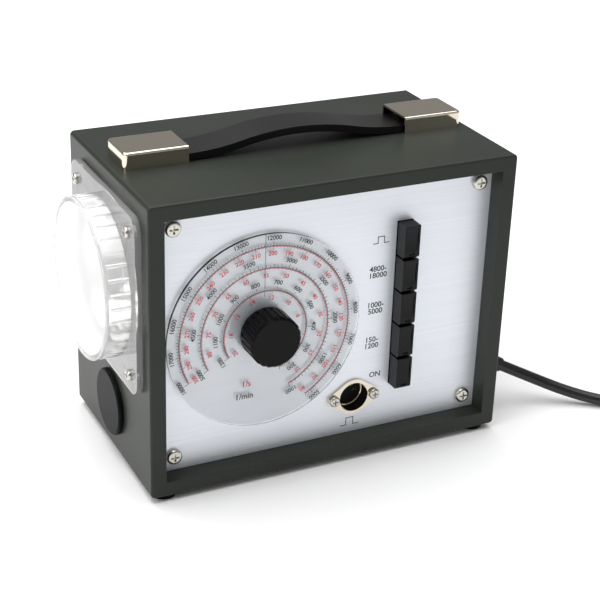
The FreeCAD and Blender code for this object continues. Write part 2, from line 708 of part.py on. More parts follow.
def reflector():
    """The spun aluminium reflector, a bowl with a flat rim and a neck hole."""
    x0 = X_L + SHEET
    mouth = REFLECTOR_D / 2
    neck = NECK_D / 2
    far = x0 + REFLECTOR_DEPTH
    shoulder = mouth * 0.80

    def at(x, r):
        return V(x, LAMP.y + r, LAMP.z)

    t = REFLECTOR_T
    bend = x0 + REFLECTOR_DEPTH * 0.52
    edges = [
        Part.LineSegment(at(x0, mouth + REFLECTOR_RIM), at(x0, mouth)).toShape(),
        Part.Arc(at(x0, mouth), at(bend, shoulder), at(far, neck)).toShape(),
        Part.LineSegment(at(far, neck), at(far + t, neck)).toShape(),
        Part.Arc(at(far + t, neck), at(bend + t, shoulder + t * 0.8), at(x0 + t, mouth + t)).toShape(),
        Part.LineSegment(at(x0 + t, mouth + t), at(x0 + t, mouth + REFLECTOR_RIM)).toShape(),
        Part.LineSegment(at(x0 + t, mouth + REFLECTOR_RIM), at(x0, mouth + REFLECTOR_RIM)).toShape(),
    ]
    return Part.Face(Part.Wire(edges)).revolve(LAMP, X_AXIS, 360)


def lamp_clamp_ring():
    """The square steel plate that clamps the reflector's rim to the wall."""
    x0 = X_L + SHEET + REFLECTOR_T
    half = COVER_PLATE_W / 2 - RING_INSET
    plate = box(x0, LAMP.y - half, LAMP.z - half, x0 + RING_T, LAMP.y + half, LAMP.z + half)
    cuts = [rod(LAMP, X_AXIS, REFLECTOR_D + REFLECTOR_T * 2 + 1, 20)]
    for y, z in cover_screw_places():
        cuts.append(rod(V(x0 - 1, y, z), X_AXIS, M3_D, RING_T + 2))
    return plate.cut(cuts)


def holder_face():
    """The lamp holder's shoulder, on the back of the reflector's neck."""
    return V(X_L + SHEET + REFLECTOR_DEPTH + REFLECTOR_T, LAMP.y, LAMP.z)


def lamp_holder():
    """The ceramic base that carries the flash tube behind the reflector."""
    face = holder_face()
    base = rod(face, X_AXIS, HOLDER_D, HOLDER_L)
    boss = rod(face - X_AXIS * BOSS_L, X_AXIS, NECK_D - 0.3, BOSS_L + 1)
    legs = [rod(face - X_AXIS * (BOSS_L + 1) + Z_AXIS * dz, X_AXIS, TUBE_D + 0.1, BOSS_L + 5)
            for dz in (-TUBE_U_R, TUBE_U_R)]
    return fused([base, boss]).cut(legs)


def tube_path(grow):
    """The flash tube's centre line: out, round and back."""
    foot = holder_face() + X_AXIS * 2
    top = foot + Z_AXIS * TUBE_U_R
    low = foot - Z_AXIS * TUBE_U_R
    reach = X_AXIS * TUBE_LEG
    bend = foot - reach - X_AXIS * TUBE_U_R
    return Part.Wire([
        Part.LineSegment(top + X_AXIS * grow, top - reach).toShape(),
        Part.Arc(top - reach, bend, low - reach).toShape(),
        Part.LineSegment(low - reach, low + X_AXIS * grow).toShape(),
    ])


def tube_along(path, diameter):
    """A round tube's solid along a path."""
    start = path.OrderedVertexes[0].Point
    heading = path.OrderedEdges[0].tangentAt(path.OrderedEdges[0].FirstParameter)
    ring = Part.Wire(Part.makeCircle(diameter / 2, start, heading))
    return path.makePipeShell([ring], True, False)


def flash_tube():
    """The xenon tube's glass, bent to a U and open at its two feet for the electrodes."""
    glass = tube_along(tube_path(0), TUBE_D)
    return glass.cut(tube_along(tube_path(1), TUBE_D - 2 * TUBE_WALL))


def flash_tube_electrodes():
    """The two metal electrodes sealed into the tube's feet."""
    foot = holder_face() + X_AXIS * 2
    rods = []
    for dz in (-TUBE_U_R, TUBE_U_R):
        rods.append(rod(foot + Z_AXIS * dz, -X_AXIS, TUBE_D - 2 * TUBE_WALL, 9.0))
    return Part.makeCompound(rods)


def side_plug():
    """The black snap-in cap that closes the round hole low on the left side."""
    centre = V(X_L, MID_Y, Z_B + PLUG_CAP_Z)
    head = rod(centre, -X_AXIS, PLUG_CAP_D, PLUG_CAP_PROUD)
    rim = [e for e in head.Edges if abs(e.CenterOfMass.x - (X_L - PLUG_CAP_PROUD)) < 0.01]
    head = head.makeFillet(1.2, rim)
    skirt = rod(centre - X_AXIS, X_AXIS, PLUG_SKIRT_D - 0.1, PLUG_SKIRT_L + 1)
    skirt = skirt.cut(rod(centre, X_AXIS, PLUG_SKIRT_D - 4, PLUG_SKIRT_L + 1))
    ridge = rod(centre + X_AXIS * (SHEET + 0.3), X_AXIS, PLUG_SKIRT_D + 1.0, 1.2)
    ridge = ridge.cut(rod(centre, X_AXIS, PLUG_SKIRT_D - 3, PLUG_SKIRT_L))
    start = X_L + 0.2
    slots = [box(start, MID_Y - 1.5, centre.z - PLUG_SKIRT_D, X_R, MID_Y + 1.5, centre.z + PLUG_SKIRT_D)]
    slots.append(box(start, MID_Y - PLUG_SKIRT_D, centre.z - 1.5, X_R, MID_Y + PLUG_SKIRT_D, centre.z + 1.5))
    return fused([head, fused([skirt, ridge]).cut(slots)])


def handle_cap(x_inner, side):
    """One nickel-plated cap of the strap handle. Side is -1 for the left cap and 1 for the right."""
    y = Y_F + HANDLE_Y
    x_outer = x_inner + side * CAP_L
    x0, x1 = min(x_inner, x_outer), max(x_inner, x_outer)
    top = Z_T + CAP_H
    cap = box(x0, y - CAP_W / 2, Z_T, x1, y + CAP_W / 2, top)
    uprights = edges_along(cap, Z_AXIS, lambda c: abs(c.x - x_outer) < 0.01)
    cap = cap.makeFillet(2.5, uprights)
    rim = [e for e in cap.Edges
           if abs(e.BoundBox.ZMin - top) < 0.01 and abs(e.CenterOfMass.x - x_inner) > 0.01]
    cap = cap.makeFillet(1.2, rim)
    wall = CAP_WALL
    hollow_end = x_outer - side * wall
    hx0, hx1 = min(x_inner + (-side), hollow_end), max(x_inner + (-side), hollow_end)
    hollow = box(hx0, y - CAP_W / 2 + wall, Z_T - 1, hx1, y + CAP_W / 2 - wall, top - wall)
    middle = V((x0 + x1) / 2, y, Z_T + STRAP_SEAT + STRAP_T)
    boss = rod(middle, Z_AXIS, 9.0, top - wall - middle.z + 0.2)
    thread = rod(middle - Z_AXIS, Z_AXIS, M4_D, 3.4)
    return fused([cap.cut(hollow), boss]).cut(thread)


def handle_caps():
    """The left and the right cap."""
    left = handle_cap(X_L + CAP_INSET + CAP_L, -1)
    right = handle_cap(X_R - CAP_INSET - CAP_L, 1)
    return Part.makeCompound([left, right])


def strap_side(x0, x1, z0, z1):
    """Half of the strap's side outline, below and above, from a low flat end to the crown."""
    span = x1 - x0
    rise = z1 - z0
    radius = (span * span + rise * rise) / (4 * rise)
    turn = math.asin(abs(span) / 2 / radius)
    way = 1 if span > 0 else -1

    def ramp(r, angle):
        return V(x0 + way * r * math.sin(angle), 0, z0 + radius - r * math.cos(angle))

    def crown(r, angle):
        return V(x1 - way * r * math.sin(angle), 0, z1 - radius + r * math.cos(angle))

    below = [Part.Arc(ramp(radius, 0), ramp(radius, turn / 2), ramp(radius, turn)),
             Part.Arc(crown(radius, turn), crown(radius, turn / 2), crown(radius, 0))]
    inner, outer = radius - STRAP_T, radius + STRAP_T
    above = [Part.Arc(ramp(inner, 0), ramp(inner, turn / 2), ramp(inner, turn)),
             Part.Arc(crown(outer, turn), crown(outer, turn / 2), crown(outer, 0))]
    return below, above


def handle_strap():
    """The black strap, arched from cap to cap, with its ends flat under the caps."""
    y = Y_F + HANDLE_Y
    low = Z_T + STRAP_SEAT
    left = X_L + CAP_INSET + CAP_L
    right = X_R - CAP_INSET - CAP_L
    middle = (left + right) / 2
    crown = Z_T + STRAP_RISE
    l_below, l_above = strap_side(left, middle, low, crown)
    r_below, r_above = strap_side(right, middle, low, crown)
    high = low + STRAP_T
    tip_l = left - STRAP_INSERT
    tip_r = right + STRAP_INSERT
    flat = [Part.LineSegment(V(tip_l, 0, low), V(left, 0, low)),
            Part.LineSegment(V(right, 0, low), V(tip_r, 0, low)),
            Part.LineSegment(V(tip_r, 0, low), V(tip_r, 0, high)),
            Part.LineSegment(V(tip_r, 0, high), V(right, 0, high)),
            Part.LineSegment(V(left, 0, high), V(tip_l, 0, high)),
            Part.LineSegment(V(tip_l, 0, high), V(tip_l, 0, low))]
    edges = [e.toShape() for e in l_below + r_below + flat + r_above + l_above]
    outline = Part.Wire(Part.__sortEdges__(edges))
    outline.translate(V(0, y - STRAP_W / 2, 0))
    strap = Part.Face(outline).extrude(V(0, STRAP_W, 0))
    holes = [rod(V(x, y, Z_T - 1), Z_AXIS, M4_D + 0.6, STRAP_T + 4) for x in cap_centres()]
    return strap.cut(holes)


def handle_screws():
    """Two screws from inside the case, up through the strap's ends into the caps."""
    seat_z = Z_T - SHEET
    seats = [V(x, Y_F + HANDLE_Y, seat_z) for x in cap_centres()]
    length = SHEET + STRAP_SEAT + STRAP_T + 2.0
    return Part.makeCompound([pan_screw(p, -Z_AXIS, M4_D, M4_HEAD_D, M4_HEAD_H, length) for p in seats])


def rubber_feet():
    """Four round feet, hollowed below for their screws."""
    feet = []
    for x, y in foot_places():
        foot = cone(V(x, y, Z_B), -Z_AXIS, FOOT_D, FOOT_D - 1.0, FOOT_H)
        well = rod(V(x, y, -1), Z_AXIS, M3_HEAD_D + 0.8, 1 + FOOT_WELL)
        hole = rod(V(x, y, -1), Z_AXIS, M3_D + 0.4, FOOT_H + 2)
        feet.append(foot.cut([well, hole]))
    return Part.makeCompound(feet)


def feet_screws():
    """Four screws through the feet and the case's floor. The rear two also hold the tray."""
    length = FOOT_H - FOOT_WELL + SHEET + TRAY_T + 2.5
    screws = [pan_screw(V(x, y, FOOT_WELL), -Z_AXIS, M3_D, M3_HEAD_D, FOOT_WELL - 0.3, length)
              for x, y in foot_places()]
    return Part.makeCompound(screws)


def feet_nuts():
    """Nuts on the feet's screws: the front two on the case's floor, the rear two on the tray."""
    nuts = []
    for x, y in foot_places():
        seat = FLOOR_Z if y < PANEL_Y else TRAY_TOP
        nuts.append(hexagon(V(x, y, seat), Z_AXIS, FOOT_NUT_AF, M3_D, FOOT_NUT_T))
    return Part.makeCompound(nuts)


def chassis_tray():
    """The folded steel tray on the case's floor that carries the heavy parts."""
    y0 = PANEL_BACK + 0.5
    y1 = Y_B - BACK_T - 0.5
    side = SHEET + 1.0
    tray = box(X_L + side, y0, FLOOR_Z, X_R - side, y1, TRAY_TOP)
    rail_room = [box(X_L, y, FLOOR_Z - 1, X_R, y + RAIL_D + 0.6, TRAY_TOP + 1)
                 for y in (PANEL_BACK - 0.3, Y_B - BACK_T - RAIL_D - 0.3)]
    cuts = rail_room + [rod(V(x, y, FLOOR_Z - 1), Z_AXIS, M3_D + 0.4, TRAY_T + 2) for x, y in foot_places()]
    for x, y in clamp_screw_places():
        cuts.append(rod(V(x, y, FLOOR_Z - 1), Z_AXIS, M3_D, TRAY_T + 2))
    return tray.cut(cuts)


def back_panel():
    """The painted rear plate with its air slots."""
    gap = SHEET + 0.3
    plate = box(X_L + gap, Y_B - BACK_T, Z_B + gap, X_R - gap, Y_B, Z_T - gap)
    cuts = []
    for x, z in PANEL_SCREWS:
        cuts.append(rod(V(x, Y_B - 5, z), Y_AXIS, M4_D + 2 * HOLE_CLEARANCE, 10))
    cuts.append(rod(V(X_L + FUSE_X, Y_B - 5, Z_B + FUSE_Z), Y_AXIS, FUSE_D + 0.3, 10))
    for i in range(VENT_COUNT):
        x = X_L + VENT_X + i * VENT_PITCH
        slot = box(x - VENT_W / 2, Y_B - 5, Z_B + VENT_Z, x + VENT_W / 2, Y_B + 5, Z_B + VENT_Z + VENT_L)
        cuts.append(slot.makeFillet(VENT_W / 2 - 0.05, edges_along(slot, Y_AXIS)))
    return plate.cut(cuts)


def fuse_axis():
    """Where the fuse holder passes through the rear plate's outer face."""
    return V(X_L + FUSE_X, Y_B, Z_B + FUSE_Z)


def fuse_holder():
    """The moulded fuse carrier with its collar outside and its barrel inside."""
    at = fuse_axis()
    barrel = rod(at - Y_AXIS * FUSE_L, Y_AXIS, FUSE_D, FUSE_L)
    collar = rod(at, Y_AXIS, FUSE_CAP_D + 1.5, FUSE_COLLAR_T)
    tags = [box(at.x - 1.5, at.y - FUSE_L - 5, at.z + dz - 0.4, at.x + 1.5, at.y - FUSE_L, at.z + dz + 0.4)
            for dz in (-3, 3)]
    bore = rod(at - Y_AXIS * (FUSE_BODY_L + 0.5), Y_AXIS, FUSE_BODY_D + 0.4, FUSE_BODY_L + 10)
    return fused([barrel, collar] + tags).cut(bore)


def fuse_cap():
    """The screw cap with a coin slot."""
    at = fuse_axis() + Y_AXIS * FUSE_COLLAR_T
    length = REAR_PROUD - FUSE_COLLAR_T
    cap = rod(at, Y_AXIS, FUSE_CAP_D, length)
    rim = [e for e in cap.Edges if abs(e.CenterOfMass.y - at.y - length) < 0.01]
    cap = cap.makeFillet(0.8, rim)
    slot = box(at.x - FUSE_CAP_D, at.y + length - 1.6, at.z - 0.7,
               at.x + FUSE_CAP_D, at.y + length + 1, at.z + 0.7)
    return cap.cut(slot)


def fuse():
    """The glass cartridge fuse, touching the cap."""
    at = fuse_axis() + Y_AXIS * FUSE_COLLAR_T
    return rod(at - Y_AXIS * FUSE_BODY_L, Y_AXIS, FUSE_BODY_D, FUSE_BODY_L)


def core_window():
    """Width and height of each of the core's two windows."""
    return CORE_W / 6, CORE_H * 2 / 3


def transformer_core():
    """The laminated iron core on the tray."""
    x, y = X_L + TRANSFORMER_X, Y_B - TRANSFORMER_BACK
    wide, high = core_window()
    core = box(x - CORE_W / 2, y - CORE_D / 2, TRAY_TOP, x + CORE_W / 2, y + CORE_D / 2, TRAY_TOP + CORE_H)
    leg = CORE_W / 6
    z0 = TRAY_TOP + (CORE_H - high) / 2
    windows = [box(x + side - wide / 2, y - CORE_D, z0, x + side + wide / 2, y + CORE_D, z0 + high)
               for side in (-leg - wide / 2, leg + wide / 2)]
    return core.cut(windows)


def transformer_winding():
    """The taped winding round the core's middle leg."""
    x, y = X_L + TRANSFORMER_X, Y_B - TRANSFORMER_BACK
    wide, high = core_window()
    leg = CORE_W / 6
    z0 = TRAY_TOP + (CORE_H - high) / 2
    half_y = CORE_D / 2 + COIL_OVER
    bobbin = box(x - leg - wide, y - half_y, z0, x + leg + wide, y + half_y, z0 + high)
    bobbin = bobbin.makeFillet(2.0, edges_along(bobbin, Z_AXIS))
    return bobbin.cut(box(x - leg, y - CORE_D / 2, z0 - 1, x + leg, y + CORE_D / 2, z0 + high + 1))


def clamp_screw_places():
    """Where the transformer's clamp is screwed to the tray."""
    x, y = X_L + TRANSFORMER_X, Y_B - TRANSFORMER_BACK
    reach = CORE_W / 2 + CLAMP_T + CLAMP_FOOT / 2
    return [(x - reach, y), (x + reach, y)]


def transformer_clamp():
    """The bent steel strap over the core."""
    x, y = X_L + TRANSFORMER_X, Y_B - TRANSFORMER_BACK
    half_w = CLAMP_W / 2
    side = CORE_W / 2
    top = TRAY_TOP + CORE_H
    t = CLAMP_T
    pieces = [box(x - side - t, y - half_w, top, x + side + t, y + half_w, top + t)]
    for s in (-1, 1):
        inner, outer = x + s * side, x + s * (side + t)
        pieces.append(box(min(inner, outer), y - half_w, TRAY_TOP, max(inner, outer), y + half_w, top + t))
        far = x + s * (side + t + CLAMP_FOOT)
        pieces.append(box(min(inner, far), y - half_w, TRAY_TOP, max(inner, far), y + half_w, TRAY_TOP + t))
    holes = [rod(V(cx, cy, TRAY_TOP - 1), Z_AXIS, M3_D + 0.4, 4) for cx, cy in clamp_screw_places()]
    return fused(pieces).cut(holes)


def transformer_screws():
    """Two screws that hold the clamp to the tray."""
    return Part.makeCompound([pan_screw(V(x, y, TRAY_TOP + CLAMP_T), Z_AXIS, M3_D, M3_HEAD_D, M3_HEAD_H,
                                        CLAMP_T + TRAY_T) for x, y in clamp_screw_places()])


def storage_capacitor():
    """The flash capacitor, a sleeved can that stands on the tray."""
    at = V(X_R - CAN_RIGHT, Y_B - CAN_BACK, TRAY_TOP)
    can = rod(at, Z_AXIS, CAN_D, CAN_H)
    can = can.makeFillet(1.5, [e for e in can.Edges if isinstance(e.Curve, Part.Circle)])
    top = at + Z_AXIS * (CAN_H - 0.5)
    studs = [rod(top + X_AXIS * (side * STUD_PITCH / 2), Z_AXIS, STUD_D, STUD_H + 0.5) for side in (-1, 1)]
    return fused([can] + studs)


def capacitor_clip():
    """The steel ring and foot that hold the can."""
    at = V(X_R - CAN_RIGHT, Y_B - CAN_BACK, TRAY_TOP)
    ring = rod(at, Z_AXIS, CAN_D + 2 * CLAMP_T, CLIP_H)
    side = at.x - CAN_D / 2
    half = CLIP_FOOT_W / 2
    foot = box(side - CLIP_FOOT_L, at.y - half, at.z, side + CLAMP_T, at.y + half, at.z + CLAMP_T)
    return fused([ring, foot]).cut(rod(at - Z_AXIS, Z_AXIS, CAN_D, CLIP_H + 2))


def board_front():
    """Y of the circuit board's component side."""
    return Y_B - BACK_T - STANDOFF_L - BOARD_T


def board_fixings():
    """X and Z of the board's four fixing screws."""
    half_w = BOARD_W / 2 - BOARD_INSET
    half_h = BOARD_H / 2 - BOARD_INSET
    x, z = X_L + BOARD_X, Z_B + BOARD_Z
    return [(x + sx * half_w, z + sz * half_h) for sx in (-1, 1) for sz in (-1, 1)]


def circuit_board():
    """The timing and trigger board, on standoffs from the rear plate."""
    x, z = X_L + BOARD_X, Z_B + BOARD_Z
    y = board_front()
    board = box(x - BOARD_W / 2, y, z - BOARD_H / 2, x + BOARD_W / 2, y + BOARD_T, z + BOARD_H / 2)
    return board.cut([rod(V(hx, y - 1, hz), Y_AXIS, M3_D + 0.4, BOARD_T + 2) for hx, hz in board_fixings()])


def board_standoffs():
    """Four brass pillars between the rear plate and the board."""
    y = board_front() + BOARD_T
    pillars = []
    for x, z in board_fixings():
        pillar = rod(V(x, y, z), Y_AXIS, STANDOFF_D, STANDOFF_L)
        pillars.append(pillar.cut(rod(V(x, y - 1, z), Y_AXIS, M3_D, 8.0)))
    return Part.makeCompound(pillars)


def board_screws():
    """Four screws through the board into its pillars."""
    y = board_front()
    return Part.makeCompound([pan_screw(V(x, y, z), -Y_AXIS, M3_D, M3_HEAD_D, M3_HEAD_H, 6.0)
                              for x, z in board_fixings()])


def on_board(dx, dz):
    """A point on the board's component side, from its middle."""
    return V(X_L + BOARD_X + dx, board_front(), Z_B + BOARD_Z + dz)


def board_capacitors():
    """Three upright electrolytic capacitors."""
    places = [on_board(ELCO_X + i * ELCO_PITCH, ELCO_Z) for i in range(ELCO_COUNT)]
    return Part.makeCompound([rod(place, -Y_AXIS, ELCO_D, ELCO_L) for place in places])


def trigger_transformer():
    """The potted pulse transformer that fires the flash tube."""
    at = on_board(PULSE_X, PULSE_Z)
    half_w, half_h = PULSE_W / 2, PULSE_H / 2
    return box(at.x - half_w, at.y - PULSE_L, at.z - half_h, at.x + half_w, at.y, at.z + half_h)


def discharge_thyristor():
    """The switching thyristor on its finned heat sink."""
    at = on_board(SINK_X, SINK_Z)
    x0, x1 = at.x - SINK_W / 2, at.x + SINK_W / 2
    base = at.y - SINK_BASE_T
    low = at.z - SINK_H / 2
    edge = (SINK_H - (FIN_COUNT - 1) * FIN_PITCH - FIN_T) / 2
    fins = []
    for i in range(FIN_COUNT):
        z = low + edge + i * FIN_PITCH
        fins.append(box(x0, base - FIN_L, z, x1, base, z + FIN_T))
    return fused([box(x0, base, low, x1, at.y, low + SINK_H)] + fins)


def boot_start():
    """Centre of the cord's outlet on the case's right side, and the boot's heading at its tip."""
    tip = CORD_ROUTE[0]
    heading = (CORD_ROUTE[1] - tip).normalize()
    chord = (heading + X_AXIS).normalize()
    return tip - chord * ((tip.x - X_R) / chord.x), heading


def strain_relief():
    """The tapered rubber boot where the cord leaves the case. It droops with the cord."""
    start, heading = boot_start()
    tip = CORD_ROUTE[0]
    chord = tip - start
    turn = heading.getAngle(X_AXIS)
    normal = (heading - X_AXIS * heading.dot(X_AXIS)).normalize()
    radius = chord.Length / 2 / math.sin(turn / 2)
    rings = []
    for i in range(4):
        share = i / 3
        angle = turn * share
        centre = start + X_AXIS * (radius * math.sin(angle)) + normal * (radius * (1 - math.cos(angle)))
        way = X_AXIS * math.cos(angle) + normal * math.sin(angle)
        diameter = BOOT_ROOT_D - 0.6 + (BOOT_TIP_D - BOOT_ROOT_D + 0.6) * share
        rings.append(Part.Wire(Part.makeCircle(diameter / 2, centre, way)))
    boot = Part.makeLoft(rings, True, False)
    flange = rod(start, X_AXIS, BOOT_FLANGE_D, BOOT_FLANGE_T)
    neck = rod(start - X_AXIS * (SHEET + 0.1), X_AXIS, BOOT_ROOT_D - 0.2, SHEET + 0.2)
    lock = rod(start - X_AXIS * (SHEET + 0.1 + 2.5), X_AXIS, BOOT_FLANGE_D, 2.5)
    return fused([boot, flange, neck, lock])


def rounded_path(points, label):
    """Straight runs joined by tangent arcs, each as large as its two runs allow."""
    edges = []
    last = points[0]
    radii = []
    for before, corner, after in zip(points, points[1:], points[2:]):
        back, ahead = before - corner, after - corner
        turn = math.pi - back.getAngle(ahead)
        cut = 0.45 * min(back.Length, ahead.Length)
        radius = cut / math.tan(turn / 2)
        radii.append(round(radius, 1))
        start = corner + back.normalize() * cut
        end = corner + ahead.normalize() * cut
        inward = (back + ahead).normalize()
        top = corner + inward * (radius / math.cos(turn / 2) - radius)
        edges.append(Part.LineSegment(last, start).toShape())
        edges.append(Part.Arc(start, top, end).toShape())
        last = end
    edges.append(Part.LineSegment(last, points[-1]).toShape())
    print(label, "radii", radii)
    return Part.Wire(edges)


def cord_tube(points, label):
    """The cord's solid along one free stretch."""
    path = rounded_path([V(p) for p in points], label)
    tube = tube_along(path, CORD_D)
    ideal = math.pi * CORD_D * CORD_D / 4 * path.Length
    print(label, "length", round(path.Length, 1), "volume share", round(tube.Volume / ideal, 4))
    return tube


def coil_spiral():
    """Points and headings of the put-away coil: in on the floor, up, and out on top."""
    entry = CORD_ROUTE[-1]
    heading = (CORD_ROUTE[-1] - CORD_ROUTE[-2]).normalize()
    left = V(-heading.y, heading.x, 0)
    first = entry + heading * CORD_D
    centre = first + left * COIL_OUTER_R
    start = math.atan2(first.y - centre.y, first.x - centre.x)
    quarters = COIL_TURNS * 4
    step = COIL_PITCH / 4
    stations = []
    for i in range(2 * quarters + 2):
        wound = quarters + 1 - abs(i - quarters - 1)
        radius = COIL_OUTER_R - step * wound
        z = first.z + COIL_PITCH * min(2, max(0, i - quarters)) / 2
        angle = start + math.pi / 2 * i
        point = V(centre.x + radius * math.cos(angle), centre.y + radius * math.sin(angle), z)
        stations.append((point, angle, radius))
    headings = []
    for i, (point, angle, radius) in enumerate(stations):
        before = stations[max(0, i - 1)]
        after = stations[min(len(stations) - 1, i + 1)]
        swing = after[1] - before[1]
        slope_r = (after[2] - before[2]) / swing
        slope_z = (after[0].z - before[0].z) / swing
        if i in (0, len(stations) - 1, quarters, quarters + 2):
            slope_z = 0
        if i in (0, len(stations) - 1):
            slope_r = 0
        way = V(-math.sin(angle), math.cos(angle), 0) * radius
        way = way + V(math.cos(angle), math.sin(angle), 0) * slope_r + V(0, 0, slope_z)
        headings.append(way.normalize())
    return [s[0] for s in stations], headings, entry


def biarc(p0, t0, p1, t1):
    """Two arcs from one point and heading to another that meet smoothly."""
    v = p1 - p0
    t = t0 + t1
    a = 2 * (1 - t0.dot(t1))
    b = 2 * v.dot(t)
    d = (-b + math.sqrt(b * b + 4 * a * v.dot(v))) / (2 * a)
    middle = (p0 + t0 * d + p1 - t1 * d) * 0.5
    last_chord = (p1 - middle).normalize()
    joint_way = last_chord * (2 * t1.dot(last_chord)) - t1
    arcs = []
    for start, way, end in ((p0, t0, middle), (middle, joint_way, p1)):
        chord = end - start
        turn = 2 * way.getAngle(chord)
        across = (way - chord * (way.dot(chord) / chord.dot(chord))).normalize()
        sagitta = chord.Length / 2 * math.tan(turn / 4)
        arcs.append(Part.Arc(start, start + chord * 0.5 + across * sagitta, end))
    return arcs


def coil_path():
    """The coil's whole centre line, with a straight diameter at each end."""
    points, headings, entry = coil_spiral()
    edges = [Part.LineSegment(entry, points[0]).toShape()]
    for i in range(len(points) - 1):
        edges += [a.toShape() for a in biarc(points[i], headings[i], points[i + 1], headings[i + 1])]
    end = points[-1] + headings[-1] * CORD_D
    edges.append(Part.LineSegment(points[-1], end).toShape())
    return Part.Wire(edges), end, headings[-1]


def cord_coil():
    """The put-away length as one unbroken tube, wound in two layers."""
    path, end, heading = coil_path()
    tube = tube_along(path, CORD_D)
    marks = path.discretize(Distance=3.0)
    apart = int(40 / 3.0)
    gap = min((marks[i] - marks[j]).Length for i in range(len(marks)) for j in range(i + apart, len(marks)))
    print("coil length", round(path.Length, 1), "least gap", round(gap - CORD_D, 2))
    ideal = math.pi * CORD_D * CORD_D / 4 * path.Length
    print("coil volume share", round(tube.Volume / ideal, 4))
    return tube


def tail_points():
    """The free stretch from the coil to the plug's neck, rising to the neck's height."""
    path, end, heading = coil_path()
    rise = PLUG_D / 2 + PLUG_LIFT - end.z
    side = V(heading.y, -heading.x, 0)
    points = [V(end)]
    for along, across, up in ((0.30, 0.0, 0.0), (0.65, -0.04, 0.5), (1.0, -0.16, 1.0)):
        points.append(end + heading * (TAIL_BACK * along) + side * (TAIL_BACK * across) + V(0, 0, rise * up))
    return points


def plug_frame():
    """The neck's end, and the plug's level heading."""
    points = tail_points()
    way = points[-1] - points[-2]
    return points[-1], way.normalize()


def mains_plug():
    """The moulded round mains plug with its ribbed neck."""
    start, way = plug_frame()
    level = V(way.x, way.y, 0).normalize()
    neck = cone(start, way, BOOT_TIP_D + 1.4, BOOT_ROOT_D + 3.0, PLUG_NECK_L)
    base = start + way * (PLUG_NECK_L - 2)
    shoulder = cone(base, level, 17.0, PLUG_D, 12.0)
    body = rod(base + level * 11.5, level, PLUG_D, PLUG_L - 11.5)
    rim = [e for e in body.Edges if isinstance(e.Curve, Part.Circle)]
    return fused([neck, shoulder, body.makeFillet(1.5, rim[:1])])


def plug_face():
    """The middle of the plug's flat front, and its heading."""
    start, way = plug_frame()
    level = V(way.x, way.y, 0).normalize()
    return start + way * (PLUG_NECK_L - 2) + level * PLUG_L, level


def plug_pins():
    """The plug's two round pins."""
    face, level = plug_face()
    across = V(-level.y, level.x, 0)
    pins = []
    for side in (-1, 1):
        pin = rod(face + across * (side * PLUG_PIN_PITCH / 2), level, PLUG_PIN_D, PLUG_PIN_L)
        tip = [e for e in pin.Edges if isinstance(e.Curve, Part.Circle)
               and (e.CenterOfMass - face).dot(level) > PLUG_PIN_L / 2]
        pins.append(pin.makeFillet(1.4, tip))
    return Part.makeCompound(pins)


os.makedirs("parts", exist_ok=True)
save("case_sleeve", case_sleeve())
save("panel_rails", Part.makeCompound([fixing_rails(PANEL_BACK), fixing_rails(Y_B - BACK_T - RAIL_D)]))
save("front_panel", front_panel())
save("front_panel_screws", panel_screws(PANEL_Y, -Y_AXIS, PANEL_T))
save("scale_disc", scale_disc())
save("control_knob", knob())
save("knob_grub_screw", knob_grub_screw())
save("potentiometer_shaft", potentiometer_shaft())
save("potentiometer", potentiometer())
save("potentiometer_nut", potentiometer_nut())
for index, name in enumerate(KEY_NAMES):
    save(name, key(index))
save("key_switch_bank", key_switch_bank())
save("key_bank_bracket", key_bank_bracket())
save("trigger_socket_shell", trigger_socket_shell())
save("trigger_socket_insert", trigger_socket_insert())
save("trigger_socket_contacts", trigger_socket_contacts())
save("trigger_socket_screws", trigger_socket_screws())
save("trigger_socket_nuts", trigger_socket_nuts())
save("lamp_cover", lamp_cover())
save("lamp_cover_screws", lamp_cover_screws())
save("reflector", reflector())
save("lamp_clamp_ring", lamp_clamp_ring())
save("lamp_holder", lamp_holder())
save("flash_tube", flash_tube())
save("flash_tube_electrodes", flash_tube_electrodes())
save("side_plug", side_plug())
save("handle_caps", handle_caps())
save("handle_strap", handle_strap())
save("handle_screws", handle_screws())
save("rubber_feet", rubber_feet())
save("feet_screws", feet_screws())
save("feet_nuts", feet_nuts())
save("chassis_tray", chassis_tray())
save("back_panel", back_panel())
save("back_panel_screws", panel_screws(Y_B, Y_AXIS, BACK_T))
save("fuse_holder", fuse_holder())
save("fuse_cap", fuse_cap())
save("fuse", fuse())
save("transformer_core", transformer_core())
save("transformer_winding", transformer_winding())
save("transformer_clamp", transformer_clamp())
save("transformer_screws", transformer_screws())
save("storage_capacitor", storage_capacitor())
save("capacitor_clip", capacitor_clip())
save("circuit_board", circuit_board())
save("board_standoffs", board_standoffs())
save("board_screws", board_screws())
save("board_capacitors", board_capacitors())
save("trigger_transformer", trigger_transformer())
save("discharge_thyristor", discharge_thyristor())
save("strain_relief", strain_relief())
save("mains_cord", cord_tube(CORD_ROUTE, "cord"))
save("cord_coil", cord_coil())
save("cord_tail", cord_tube(tail_points(), "tail"))
save("mains_plug", mains_plug())
save("plug_pins", plug_pins())
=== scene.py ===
import bmesh
import bpy
import math
from mathutils import Matrix, Vector


